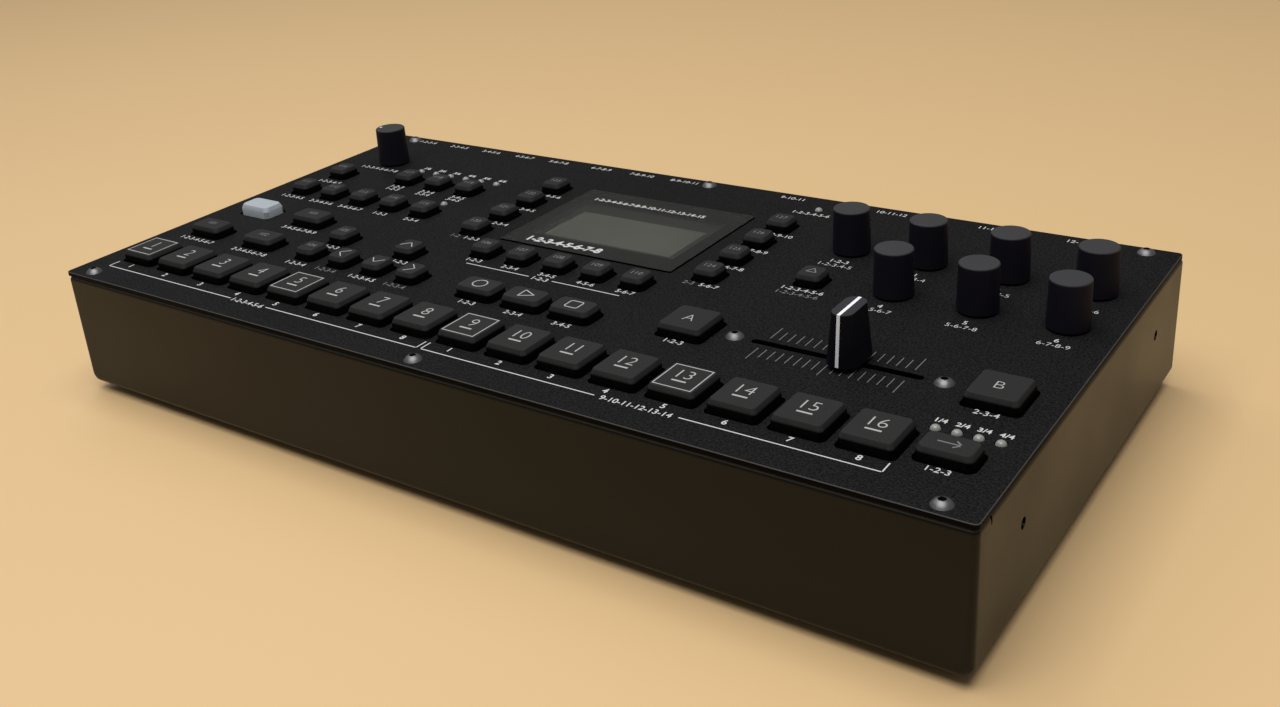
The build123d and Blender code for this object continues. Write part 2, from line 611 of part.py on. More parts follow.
def board_standoffs():
    """Standoffs from the floor to the main board, and studs from the panel to the control board."""
    front_y = STEP_Y + (KEY_TALL + TRANSPORT_SPACE) / 2
    middle_y = (MODE_Y + MENU_Y) / 2
    back_y = CONTROL_BACK - BACK_STUD_INSET
    studs = [(EDGE_STUD_X, front_y), (EDGE_STUD_X, middle_y), (PANEL_W - EDGE_STUD_X, middle_y)]
    studs += [((navigation_x[-1] + transport_x[0]) / 2, front_y)]
    studs += [(SCENE_A_X + KEY_WIDE / 2 + SCENE_STUD_SPACE, front_y)]
    for x in ((MENU_RIGHT_X + TRACK_LEFT_X) / 2, (TRACK_RIGHT_X + LEVEL_X) / 2):
        studs += [(x, middle_y), (x, back_y)]
    pieces = [at(x, y) * post(STUD_D / 2, Z_CONTROL, Z_RIM) for x, y in studs]
    inset = MAIN_MARGIN + STANDOFF_D
    for x in (inset, PANEL_W / 2, PANEL_W - inset):
        for y in (MAIN_FRONT + STANDOFF_D, PANEL_D - REAR_FLANGE - STANDOFF_D):
            pieces.append(at(x, y) * post(STANDOFF_D / 2, Z_FLOOR, Z_FLOOR + STANDOFF_H))
    return Compound(pieces)


def audio_jack():
    """A quarter-inch jack: housing, threaded bushing and plug bore."""
    y0, y1 = INNER_BACK - JACK_DEPTH, INNER_BACK
    size = (JACK_W, JACK_DEPTH, JACK_H)
    body = Pos(0, (y0 + y1) / 2, 0) * Box(*size)
    mouth = PANEL_D + JACK_OUT
    body += drum(BUSH_D / 2, INNER_BACK, mouth)
    return body - drum(PLUG_D / 2, mouth - PLUG_DEPTH, mouth)


def jack_nut():
    """The hexagon nut that holds a jack to the rear panel."""
    hexagon = extrude(RegularPolygon(NUT_AF / 2, 6, major_radius=False), NUT_T)
    hexagon -= post(BUSH_D / 2 + NUT_CLEAR, 0, NUT_T)
    return Pos(0, PANEL_D, 0) * Rot(-90, 0, 0) * hexagon


def midi_housing():
    """The housing of a round socket, with a well for the plug's shell."""
    y0 = INNER_BACK - DIN_DEPTH
    body = Pos(0, (y0 + INNER_BACK) / 2, 0) * Box(DIN_W, DIN_DEPTH, DIN_H)
    body += drum(DIN_SHELL_D / 2, INNER_BACK, PANEL_D)
    return body - drum(DIN_RING_D / 2, PANEL_D - DIN_SOCKET_DEPTH, PANEL_D)


def midi_core():
    """The five-hole core that stands in the well of a round socket."""
    well = (PANEL_D - DIN_SOCKET_DEPTH, PANEL_D)
    core = drum(DIN_CORE_D / 2, *well)
    for step in range(-2, 3):
        hole = Rot(0, 180 + DIN_PIN_STEP * step, 0) * Pos(0, 0, DIN_PIN_R)
        core -= hole * drum(DIN_PIN_D / 2, *well)
    return core


def card_slot():
    """The memory card socket, with a lip that fills its opening in the rear panel."""
    half = CARD_W / 2
    body = block(card_x - half, card_x + half, INNER_BACK - CARD_DEPTH, INNER_BACK, Z_MAIN, Z_MAIN + CARD_H)
    lip_w = CARD_SLOT_W / 2 + CARD_LIP - SOCKET_CLEAR
    lip_h = CARD_SLOT_H / 2 + CARD_LIP - SOCKET_CLEAR
    body += block(card_x - lip_w, card_x + lip_w, INNER_BACK, PANEL_D, card_z - lip_h, card_z + lip_h)
    slot_w, slot_h = CARD_SLOT_W / 2, CARD_SLOT_H / 2
    sides = (card_x - slot_w, card_x + slot_w, PANEL_D - CARD_SLOT_DEPTH, PANEL_D)
    return body - block(*sides, card_z - slot_h, card_z + slot_h)


def usb_socket():
    """A square USB socket with its tongue."""
    x, half = usb_x, USB_W / 2
    body = block(x - half, x + half, PANEL_D - USB_DEPTH, PANEL_D, Z_MAIN, Z_MAIN + USB_H)
    inner = half - USB_WALL
    y = PANEL_D - USB_SOCKET_DEPTH
    body -= block(x - inner, x + inner, y, PANEL_D, Z_MAIN + USB_WALL, Z_MAIN + USB_H - USB_WALL)
    tongue_w, tongue_h = USB_TONGUE_W / 2, USB_TONGUE_H / 2
    sides = (x - tongue_w, x + tongue_w, y, PANEL_D - USB_WALL)
    return body + block(*sides, usb_z - tongue_h, usb_z + tongue_h)


def dc_inlet():
    """A barrel power inlet, and the pin that stands in its bore."""
    half = DC_W / 2
    body = block(dc_x - half, dc_x + half, INNER_BACK - DC_DEPTH, INNER_BACK, Z_MAIN, Z_MAIN + DC_H)
    bore = (INNER_BACK - DC_BORE_DEPTH, INNER_BACK)
    body -= at(dc_x, 0, dc_z) * drum(DC_BORE_D / 2, *bore)
    return Compound([body, at(dc_x, 0, dc_z) * drum(DC_PIN_D / 2, *bore)])


def power_switch_body():
    """The latching switch behind the rear panel, with a well for its button."""
    half = POWER_W / 2
    sides = (power_x - half, power_x + half, INNER_BACK - POWER_DEPTH, INNER_BACK)
    body = block(*sides, Z_MAIN, Z_MAIN + POWER_H)
    well_y = INNER_BACK - POWER_DIP - POWER_TRAVEL - SOCKET_CLEAR
    well = drum(POWER_BUTTON_D / 2 + SOCKET_CLEAR, well_y, INNER_BACK)
    return body - at(power_x, 0, power_z) * well


def power_button():
    """The round button that comes out through the rear panel."""
    button = drum(POWER_BUTTON_D / 2, INNER_BACK - POWER_DIP, PANEL_D + POWER_BUTTON_OUT)
    button = fillet(button.faces().sort_by(Axis.Y)[-1].edges(), POWER_BUTTON_EDGE)
    return at(power_x, 0, power_z) * button


def copies(piece, places):
    """The same piece at several panel places, as separate solids."""
    return Compound([at(*place) * piece for place in places])


caps = {size: key_cap(size) for size in (SQUARE, WIDE, SMALL)}
nodes = {}
for name, group in keys.items():
    nodes[name] = Compound([at(x, y) * caps[size] for x, y, size in group])
for name, place in knobs.items():
    nodes[name] = Compound([at(*place) * knob(), at(*place) * shaft()])
nodes["fader_cap"] = fader_cap()
nodes["fader_lever"] = fader_lever()
nodes["power_button"] = power_button()
nodes["top_panel"] = top_panel()
nodes["bottom_case"] = bottom_case()
nodes["rear_panel"] = rear_panel()
foot_x = (FOOT_INSET, PANEL_W - FOOT_INSET)
foot_y = (FOOT_INSET, PANEL_D - FOOT_INSET)
nodes["rubber_feet"] = copies(foot(), [(x, y) for x in foot_x for y in foot_y])
top_screws = [at(x, y, Z_TOP) * screw() for x, y in rim_screws + fader_screws]
under_screws = [at(x, y, FOOT_H) * Rot(180, 0, 0) * screw() for x, y in floor_screws]
nodes["case_screws"] = Compound(top_screws + under_screws)
nodes["display_window"] = display_window()
nodes["display_module"] = display_module()
nodes["control_board"] = control_board()
nodes["key_switches"] = copies(tact_switch(), [(x, y) for x, y, _ in all_keys])
nodes["status_leds"] = copies(led(), leds)
nodes["rotary_bodies"] = copies(rotary_body(), knobs.values())
nodes["fader_body"] = fader_body()
nodes["main_board"] = main_board()
nodes["board_standoffs"] = board_standoffs()
nodes["audio_jacks"] = copies(audio_jack(), [(x, 0, z) for x, z in jacks])
nodes["jack_nuts"] = copies(jack_nut(), [(x, 0, z) for x, z in jacks])
midi_pieces = (midi_housing(), midi_core())
nodes["midi_sockets"] = Compound([at(x, 0, din_z) * piece for x in din_x for piece in midi_pieces])
nodes["card_slot"] = card_slot()
nodes["usb_socket"] = usb_socket()
nodes["dc_inlet"] = dc_inlet()
nodes["power_switch_body"] = power_switch_body()

os.makedirs("parts", exist_ok=True)
for name, shape in nodes.items():
    export_step(shape, f"parts/{name}.step")
print(len(nodes), "nodes")
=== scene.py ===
"""Finishes, printed marks and studio for a desktop audio sampler."""

import math

import bmesh
import bpy
from bpy.props import FloatProperty, FloatVectorProperty, PointerProperty
from mathutils import Matrix, Vector


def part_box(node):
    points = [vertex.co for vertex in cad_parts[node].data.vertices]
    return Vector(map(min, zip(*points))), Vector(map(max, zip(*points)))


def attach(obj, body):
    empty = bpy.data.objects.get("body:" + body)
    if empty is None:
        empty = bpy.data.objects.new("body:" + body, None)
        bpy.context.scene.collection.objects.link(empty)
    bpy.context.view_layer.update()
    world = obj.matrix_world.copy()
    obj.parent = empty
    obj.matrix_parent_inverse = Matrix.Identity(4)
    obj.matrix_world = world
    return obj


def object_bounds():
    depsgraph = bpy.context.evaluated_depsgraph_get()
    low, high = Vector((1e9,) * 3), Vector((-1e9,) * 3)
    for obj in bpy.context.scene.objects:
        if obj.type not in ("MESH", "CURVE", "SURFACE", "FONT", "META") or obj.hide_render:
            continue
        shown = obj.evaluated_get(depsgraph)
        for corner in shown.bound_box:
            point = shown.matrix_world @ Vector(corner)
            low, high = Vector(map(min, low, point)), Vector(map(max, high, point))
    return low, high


bl_info = {
    "name": "Desktop Sampler Finishes",
    "version": (1, 0, 0),
    "blender": (4, 5, 0),
    "location": "3D View > Sidebar > Sampler",
    "description": "Finishes, printed marks and studio for a desktop audio sampler",
    "category": "Object",
}

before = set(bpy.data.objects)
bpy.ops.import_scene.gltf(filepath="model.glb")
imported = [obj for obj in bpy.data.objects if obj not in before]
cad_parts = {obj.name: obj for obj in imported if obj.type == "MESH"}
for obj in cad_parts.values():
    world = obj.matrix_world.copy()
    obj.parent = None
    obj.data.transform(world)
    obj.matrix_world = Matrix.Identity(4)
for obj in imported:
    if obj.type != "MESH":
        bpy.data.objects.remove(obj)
CAD_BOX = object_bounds()

MM = 0.001
PANEL_LOW, PANEL_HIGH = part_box("top_panel")
KEY_TOP = (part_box("step_key_01")[1].z - PANEL_HIGH.z) / MM
KNOB_TOP = (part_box("knob_volume")[1].z - PANEL_HIGH.z) / MM
CAP_TOP = (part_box("fader_cap")[1].z - PANEL_HIGH.z) / MM

# Places are in millimetres from the panel's front left corner, heights from its top
PANEL_FACE = 0.0
STEP_NAMES = [f"step_key_{i:02d}" for i in range(1, 17)]
STEP_PITCH = 19.05
STEP_X = [18.4 + STEP_PITCH * i for i in range(16)]
STEP_Y = 24.6
PAGE_X = 323.2
SMALL_ROW_Y = 50.8
NEXT_ROW_Y = 67.0
SMALL_PITCH = 16.2
TRANSPORT_X = (152.35, 171.4, 190.45)
SCENE_X = (227.95, PAGE_X)
SCENE_Y = 58.6
MODE_KEYS = ((19.4, SMALL_ROW_Y), (48.2, SMALL_ROW_Y), (48.2, 75.2))
TEMPO_KEY = (244.2, 105.8)
SIDE_KEYS = ((73.3, SMALL_ROW_Y), (73.3, NEXT_ROW_Y))
# Arrow keys by the quarter turns of their arrow: right, back, left and front
ARROW_KEYS = {
    0: (121.9, SMALL_ROW_Y), 1: (105.7, NEXT_ROW_Y),
    2: (89.5, SMALL_ROW_Y), 3: (105.7, SMALL_ROW_Y),
}
PARAMETER_PITCH = 15.9
PARAMETER_KEYS = [(130.6 + PARAMETER_PITCH * i, 79.7) for i in range(5)]
MENU_X = [16.3 + SMALL_PITCH * i for i in range(5)]
MENU_KEYS = [(x, 101.6) for x in MENU_X] + [(MENU_X[0], 122.4)] + [(x, 127.7) for x in MENU_X[2:]]
TRACK_KEYS = [(x, 95.3 + SMALL_PITCH * i) for x in (112.35, 212.45) for i in range(4)]
LEVEL_KNOB = (244.2, 134.4)
VOLUME_KNOB = (25.0, 144.0)
KNOB_PITCH = 27.0
KNOBS = [(LEVEL_KNOB[0] + KNOB_PITCH * i, y) for y in (134.4, 107.8) for i in (1, 2, 3)]
KNOB_NAMES = ["knob_level", "knob_volume"] + [f"knob_{letter}" for letter in "abcdef"]
LED_PITCH = 5.7
PAGE_LEDS = [(314.65 + LED_PITCH * i, 36.4) for i in range(4)]
LED_SIDE = 4.1
RECORDER_LEDS = [(x + side, 139.5) for x in MENU_X[2:] for side in (-LED_SIDE, LED_SIDE)]
CARD_LED = (216.2, 165.2)
SOCKET_X = (18.6, 36.9, 55.2, 73.5, 91.8, 113.7, 133.7, 153.7, 201.6, 241.6, 279.5, 310.0)
SOCKET_LABEL_Y = 172.6
FADER_X, FADER_Y = 274.875, 60.0
FADER_SCREW_SIDE = 32.5
SCREWS = [(x, y) for x in (10.4, 165.2, 329.6) for y in (4.4, 172.6)]
SCREWS += [(FADER_X + side * FADER_SCREW_SIDE, FADER_Y) for side in (-1, 1)]
GROUP_KEYS = {
    "mode_keys": MODE_KEYS, "navigation_keys": SIDE_KEYS, "parameter_keys": PARAMETER_KEYS,
    "menu_keys": MENU_KEYS, "track_keys": TRACK_KEYS,
}
SINGLE_KEYS = ["record_key", "play_key", "stop_key", "page_key", "scene_a_key", "scene_b_key"]

# Hexagon sockets of the screws: width across flats, floor, rim and thickness of the lining that
# carries their painted shade
SCREW_SOCKET = 1.96
SCREW_SOCKET_FLOOR = 0.36
SCREW_SOCKET_RIM = 1.42
SCREW_LINING = 0.03
HEXAGON = 6

# Heights between which a finish turns from one colour into the next: painted shade below, the
# finish's own colour above
PANEL_SIDE_SHADE = (-0.3, -0.02)
KEY_SKIRT_SHADE = (2.2, 2.7)
KNOB_SHADE_EDGE = (KNOB_TOP - 0.7, KNOB_TOP - 0.2)
CAP_SHADE_EDGE = (CAP_TOP - 0.4, CAP_TOP - 0.05)
# Share of the upward direction over which a tint on a slope fades out
SLOPE_BLEND = 0.08
# Width of the clouds in which a finish is duller or shinier
CLOUD = 45
# CAD corners closer than this are one; edges that turn by more degrees than a crease stay sharp
CORNER_MERGE = 0.002
CREASE = 28
DOME_CREASE = 50

# Share of the type size that a figure's height takes, and a figure's pitch as a share of its height
FIGURE_SHARE = 0.73
FIGURE_PITCH = 0.62
FIGURE_STEPS = 4
# Heights of print, and weights, which swell its strokes or, below zero, thin them
LABEL_HEIGHT = 2.4
LABEL_WEIGHT = 0.03
WHITE_WEIGHT = 0.01
FINE_WEIGHT = -0.04
GREY_WEIGHT = 0.0
BOLD_WEIGHT = 0.06
LED_LABEL_HEIGHT = 2.1
LED_LABEL_RISE = 4.2
STEP_LABEL_Y = 14.3
STEP_LABELS = list(range(1, 9)) * 2

# Brackets before the step keys: left, right, middle of the gap, width of its label, first number
BRACKETS = ((10.3, 160.4, 85.0, 14.7, 1), (162.2, 311.8, 240.3, 24.9, 9))
BRACKET_Y = 10.8
BRACKET_END_Y = 15.2
BRACKET_LABEL_Y = 10.7
BRACKET_GAP = 1.4
# Lines before the parameter keys, with a label between them
RULES = ((129.9, 157.0), (167.2, 193.9))
RULE_Y = 69.5
RULE_LABEL = (162.2, 69.3)
RULE_LABEL_WIDTH = 7.8
# The fader's scale: ticks on both sides of the slot, the first, middle and last one longer
FADER_TICKS = 17
FADER_TICK_PITCH = 2.82
TICK_START = 3.6
TICK_END = 9.0
LONG_TICK_END = 11.2
TICK_WIDTH = 0.24

# Marks on the keys: sizes, corners, line widths and shifts to the back or the front
LARGE_WEIGHT = -0.1
STEP_NUMBER_HEIGHT = 4.9
STEP_NUMBER_BACK = 1.6
STEP_BAR_HALF = 2.3
STEP_BAR_FRONT = 2.4
STEP_BAR_WIDTH = 0.7
STEP_FRAME = (12.4, 12.8)
STEP_FRAME_EVERY = 4
THIN_LINE = 0.36
MARK_LINE = 0.42
RING_SIDES = 40
CORNER_STEPS = 4
SQUARE_TURN = math.pi / 4
RECORD_MARK = (5.5, 5.3)
PLAY_MARK = (5.6, 5.4)
PLAY_TURN = -math.pi / 2
PLAY_CORNER = 0.6
STOP_MARK = (5.2, 4.9)
STOP_CORNER = 0.9
LETTER_HEIGHT = 4.3
LETTER_FRONT = 0.2
PAGE_ARROW_HALF = 3
PAGE_ARROW_HEAD = (1.6, 1.5)
PAGE_ARROW_LINE = 0.45
ARROW_POINTS = ((-1.3, 2.6), (1.6, 0.0), (-1.3, -2.6))
SMALL_NUMBER_BASE = 100
SMALL_NUMBER_HEIGHT = 2.3
SMALL_NUMBER_BACK = 0.5
SMALL_NUMBER_WEIGHT = -0.02
TEMPO_MARK = (4.2, 3.6)
TEMPO_LINE = 0.4
TEMPO_CORNER = 0.5

# The volume knob's dot from the knob's middle, and the fader cap's line
DOT_RIGHT = -4.0
DOT_BACK = -1.3
DOT_DEPTH = 0.06
DOT_SIDES = 24
CAP_TOP_DEPTH = 13.6
CAP_LINE_FOOT = 0.3
CAP_LINE_SUNK = 0.09
CAP_LINE_PROUD = 0.02

# The mask behind the window: its gap to the edge, and the half sizes and shift of its opening
MASK_RIM = 0.06
MASK_INSET = 5
MASK_HALF = (31.4, 18.2)
MASK_SHIFT = (-0.8, 0.4)
MASK_THICK = 0.04
# The display's plates: how deep the glass lies, the lift off it, sizes, shift of the screen, rises
GLASS_SUNK = 1.4
PLATE_LIFT = 0.02
BORDER_SIZE = (62.8, 38.8)
BORDER_SHIFT = (0.0, 0.0)
BORDER_RISE = 0.10
SCREEN_SIZE = (53.8, 24.7)
SCREEN_SHIFT = (-0.4, -1.6)
SCREEN_RISE = 0.16
# The two lines of numbers on the window
WINDOW_RUN = (158.3, 140.7)
WINDOW_RUN_WIDTH = 50.0
WINDOW_RUN_WEIGHT = 0.08
WINDOW_NUMBER = (151.5, 97.2)
WINDOW_NUMBER_HEIGHT = 3.8
WINDOW_NUMBER_WEIGHT = 0.2

# Runs of plain numbers on the panel: places, shift to the right and to the back, width
TRANSPORT_KEYS = [(x, SMALL_ROW_Y) for x in TRANSPORT_X]
SCENE_KEYS = [(x, SCENE_Y) for x in SCENE_X]
WHITE_LABELS = (
    (PARAMETER_KEYS, 0.0, -6.9, 7.0), (TRANSPORT_KEYS, 0.0, -7.2, 7.8),
    (SCENE_KEYS, 0.0, -9.6, 7.1), (TRACK_KEYS, 3.6, -6.8, 6.6),
    (KNOBS, 0.0, -9.8, 1.5), ((LEVEL_KNOB,), 0.4, -9.8, 7.3),
    ((TEMPO_KEY,), 0.4, -7.3, 14.6), (MODE_KEYS, 0.0, -7.7, 18.0),
    (SIDE_KEYS[:1], 0.0, -8.0, 10.1), (SIDE_KEYS[1:], 0.4, -7.1, 6.0),
    ((ARROW_KEYS[3],), -0.4, -7.5, 13.4), ((ARROW_KEYS[1],), 1.6, -7.0, 7.0),
    (MENU_KEYS[:3], 0.0, -7.8, 13.0), (MENU_KEYS[3:5], 0.0, -7.8, 8.0),
    (MENU_KEYS[5:6], 0.6, -8.6, 14.0), (MENU_KEYS[6:], 0.0, -7.0, 8.0),
    (MENU_KEYS[6:], 0.0, -9.8, 8.0), ((VOLUME_KNOB,), -0.4, -8.7, 22.8),
    (((PAGE_X, STEP_Y),), 0.0, -7.0, 8.0),
    ([(x, SOCKET_LABEL_Y) for x in SOCKET_X], 0.0, 0.0, 11.0),
    ((CARD_LED,), -0.6, -4.6, 15.0),
)
FINE_LABELS = ((KNOBS, 0.0, -13.0, 11.5), ((LEVEL_KNOB,), 0.4, -13.3, 14.3))
GREY_LABELS = (
    (TRACK_KEYS[::4], -4.0, -6.9, 5.4), ((TEMPO_KEY,), 0.2, -10.8, 16.0),
    ((ARROW_KEYS[2],), -1.6, -7.6, 9.4), ((ARROW_KEYS[0],), -1.4, -7.4, 10.9),
)

# The stage in metres: the floor's half width, the lamps, and the camera's place and directions
FLOOR_HALF = 6.0
KEY_LAMP_SIZE = 1.4
KEY_LAMP_PLACE = (0.05, -0.3, 1.5)
FILL_LAMP_SIZE = 1.2
FILL_LAMP_PLACE = (-1.1, 0.5, 1.5)
LAMP_AIM = (0.0, 0.0, 0.03)
CAMERA_PLACE = (0.25844, -0.33844, 0.21887)
CAMERA_RIGHT = Vector((0.82304, 0.56402, -0.06700))
CAMERA_DOWN = Vector((0.17173, -0.35954, -0.91719))
CAMERA_AHEAD = Vector((-0.54140, 0.74338, -0.39278))
LENS_SHIFT = (0.0086, -0.0537)
SENSOR_WIDTH = 36.0
CLIP_START = 0.01


def linear(code):
    """A hex sRGB colour as linear red, green, blue and alpha."""
    parts = [int(code[i:i + 2], 16) / 255 for i in (1, 3, 5)]
    return [v / 12.92 if v <= 0.04045 else ((v + 0.055) / 1.055) ** 2.4 for v in parts] + [1.0]


def colour(name, description, code):
    """A colour that a user may change."""
    return FloatVectorProperty(
        name=name, description=description, default=linear(code),
        subtype="COLOR", size=4, min=0.0, max=1.0)


def length(name, description, size):
    """A length that a user may change, with its default in millimetres."""
    return FloatProperty(
        name=name, description=description, default=size * MM,
        subtype="DISTANCE", unit="LENGTH", min=0.0, precision=5)


def spot(x, y, z=PANEL_FACE):
    """A panel place in millimetres as a point of the shared frame."""
    return Vector((PANEL_LOW.x + x * MM, PANEL_LOW.y + y * MM, PANEL_HIGH.z + z * MM))


def add_node(tree, kind, inputs=(), **settings):
    """A shader node with its settings; inputs give a value or the output that feeds a socket."""
    made = tree.nodes.new(kind)
    for key, value in settings.items():
        setattr(made, key, value)
    for key, value in dict(inputs).items():
        if isinstance(value, bpy.types.NodeSocket):
            tree.links.new(value, made.inputs[key])
        else:
            made.inputs[key].default_value = value
    return made


def mottled(name, base, speck, grain, relief, rough, spread=0.08, **sockets):
    """A surface of two close colours at a grain size in mm, with that grain's relief in mm."""
    material = bpy.data.materials.new(name)
    material.use_nodes = True
    tree = material.node_tree
    shader = tree.nodes["Principled BSDF"]
    place = add_node(tree, "ShaderNodeTexCoord").outputs["Object"]
    fine = {"Vector": place, "Scale": 1 / (grain * MM), "Detail": 3.0, "Roughness": 0.6}
    grit = add_node(tree, "ShaderNodeTexNoise", fine).outputs[0]
    wide = {"Vector": place, "Scale": 1 / (CLOUD * MM), "Detail": 2.0}
    cloud = add_node(tree, "ShaderNodeTexNoise", wide).outputs[0]
    share = {"Value": grit, "From Min": 0.35, "From Max": 0.7}
    share = add_node(tree, "ShaderNodeMapRange", share).outputs[0]
    tint = {0: share, 6: base, 7: speck}
    tint = add_node(tree, "ShaderNodeMix", tint, data_type="RGBA").outputs[2]
    shine = {"Value": cloud, "From Min": 0.3, "From Max": 0.7}
    shine.update({"To Min": rough - spread, "To Max": rough + spread})
    shine = add_node(tree, "ShaderNodeMapRange", shine).outputs[0]
    bump = {"Height": grit, "Distance": relief * MM, "Strength": 1.0}
    bump = add_node(tree, "ShaderNodeBump", bump).outputs[0]
    tree.links.new(tint, shader.inputs["Base Color"])
    tree.links.new(shine, shader.inputs["Roughness"])
    tree.links.new(bump, shader.inputs["Normal"])
    for key, value in sockets.items():
        shader.inputs[key.replace("_", " ")].default_value = value
    return material


def shade_by_height(material, low, high, tone):
    """Darkens the foot of a surface: the tone below low, the surface's own colour above high."""
    tree = material.node_tree
    socket = tree.nodes["Principled BSDF"].inputs["Base Color"]
    tint = socket.links[0].from_socket
    place = add_node(tree, "ShaderNodeTexCoord").outputs["Object"]
    height = add_node(tree, "ShaderNodeSeparateXYZ", {0: place}).outputs["Z"]
    share = {
        "Value": height,
        "From Min": PANEL_HIGH.z + low * MM, "From Max": PANEL_HIGH.z + high * MM,
    }
    share = add_node(tree, "ShaderNodeMapRange", share).outputs[0]
    both = add_node(tree, "ShaderNodeMix", {0: share, 6: tone, 7: tint}, data_type="RGBA")
    tree.links.new(both.outputs[2], socket)


def tint_by_slope(material, tone, slope, reach):
    """Lays a tone where the surface's upward share is near a slope: 1 is level, 0 upright."""
    tree = material.node_tree
    socket = tree.nodes["Principled BSDF"].inputs["Base Color"]
    tint = socket.links[0].from_socket
    turn = add_node(tree, "ShaderNodeTexCoord").outputs["Normal"]
    up = add_node(tree, "ShaderNodeSeparateXYZ", {0: turn}).outputs["Z"]
    off = add_node(tree, "ShaderNodeMath", {0: up, 1: slope}, operation="SUBTRACT").outputs[0]
    off = add_node(tree, "ShaderNodeMath", {0: off}, operation="ABSOLUTE").outputs[0]
    share = {
        "Value": off, "From Min": reach, "From Max": reach + SLOPE_BLEND,
        "To Min": 1.0, "To Max": 0.0,
    }
    share = add_node(tree, "ShaderNodeMapRange", share).outputs[0]
    both = add_node(tree, "ShaderNodeMix", {0: share, 6: tint, 7: tone}, data_type="RGBA")
    tree.links.new(both.outputs[2], socket)


def print_ink(name, tone):
    """Screen-print ink: dry, even, with the faint specks of the mesh it was pulled through."""
    speck = [c * 0.9 for c in tone[:3]] + [1.0]
    return mottled(name, tone, speck, grain=0.25, relief=0.004, rough=0.6)


def dress(names, material, crease=CREASE):
    """Gives CAD nodes a finish, smooth across edges that turn less than the crease in degrees."""
    for name in names:
        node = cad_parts[name]
        node.data.materials.clear()
        node.data.materials.append(material)
        node.data.shade_smooth()
        weld = node.modifiers.new("Merge corners", "WELD")
        weld.merge_threshold = CORNER_MERGE * MM
        edges = node.modifiers.new("Keep edges", "EDGE_SPLIT")
        edges.split_angle = math.radians(crease)


def piece(name, bm, material, body):
    """Makes a bmesh a piece of the object that rides on a body."""
    bmesh.ops.recalc_face_normals(bm, faces=bm.faces)
    mesh = bpy.data.meshes.new(name)
    bm.to_mesh(mesh)
    bm.free()
    mesh.materials.append(material)
    made = bpy.data.objects.new(name, mesh)
    bpy.context.scene.collection.objects.link(made)
    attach(made, body)


def bar(bm, start, end, width, level, thick):
    """A printed bar between two panel places."""
    a, b = Vector(start), Vector(end)
    run = b - a
    middle = (a + b) / 2
    place = Matrix.Translation(spot(middle.x, middle.y, level))
    turn = Matrix.Rotation(math.atan2(run.y, run.x), 4, "Z")
    size = Matrix.Diagonal((run.length * MM, width * MM, thick * MM, 1.0))
    bmesh.ops.create_cube(bm, size=1.0, matrix=place @ turn @ size)


def chain(bm, points, width, level, thick):
    """Printed bars from point to point, each run past its ends so that the corners fill."""
    for start, end in zip(points, points[1:]):
        a, b = Vector(start), Vector(end)
        step = (b - a).normalized() * width / 2
        bar(bm, a - step, b + step, width, level, thick)


def thicken(shape, thick):
    """Raises a flat shape by its thickness."""
    raised = bmesh.ops.extrude_face_region(shape, geom=shape.faces[:], use_keep_orig=True)
    risen = [g for g in raised["geom"] if isinstance(g, bmesh.types.BMVert)]
    bmesh.ops.translate(shape, verts=risen, vec=(0.0, 0.0, thick * MM))


def add_shape(bm, shape):
    """Adds one bmesh to another and frees it."""
    mesh = bpy.data.meshes.new("shape")
    shape.to_mesh(mesh)
    shape.free()
    bm.from_mesh(mesh)
    bpy.data.meshes.remove(mesh)


def outline(bm, centre, size, width, level, thick, sides=RING_SIDES, turn=0.0, corner=0.0):
    """A printed outline: a ring, or a square or triangle with rounded corners."""
    shape = bmesh.new()
    bmesh.ops.create_circle(shape, cap_ends=True, radius=0.5 * MM, segments=sides)
    bmesh.ops.rotate(shape, verts=shape.verts, matrix=Matrix.Rotation(turn, 3, "Z"))
    reach = [max(v.co[i] for v in shape.verts) - min(v.co[i] for v in shape.verts) for i in (0, 1)]
    grow = (size[0] * MM / reach[0], size[1] * MM / reach[1], 1.0)
    bmesh.ops.scale(shape, verts=shape.verts, vec=grow)
    if corner:
        bmesh.ops.bevel(
            shape, geom=shape.verts[:], offset=corner * MM, affect="VERTICES",
            segments=CORNER_STEPS, profile=0.5, material=-1)
    middle = shape.faces[:]
    bmesh.ops.inset_region(
        shape, faces=middle, thickness=width * MM, use_boundary=True, use_even_offset=True)
    bmesh.ops.delete(shape, geom=middle, context="FACES_ONLY")
    thicken(shape, thick)
    bmesh.ops.translate(shape, verts=shape.verts, vec=spot(*centre, level - thick / 2))
    add_shape(bm, shape)


def numeral(bm, text, centre, height, level, thick, weight=0.0):
    """A printed number or mark, centred on a panel place, as a mesh."""
    curve = bpy.data.curves.new("numeral", "FONT")
    curve.body = text
    curve.size = height * MM / FIGURE_SHARE
    curve.offset = weight * MM
    curve.extrude = thick / 2 * MM
    curve.resolution_u = FIGURE_STEPS
    holder = bpy.data.objects.new("numeral", curve)
    bpy.context.scene.collection.objects.link(holder)
    bpy.context.view_layer.update()
    graph = bpy.context.evaluated_depsgraph_get()
    mesh = bpy.data.meshes.new_from_object(holder.evaluated_get(graph))
    low = [min(v.co[i] for v in mesh.vertices) for i in (0, 1)]
    high = [max(v.co[i] for v in mesh.vertices) for i in (0, 1)]
    middle = Vector(((low[0] + high[0]) / 2, (low[1] + high[1]) / 2, 0.0))
    mesh.transform(Matrix.Translation(spot(*centre, level) - middle))
    bm.from_mesh(mesh)
    bpy.data.objects.remove(holder)
    bpy.data.curves.remove(curve)
    bpy.data.meshes.remove(mesh)


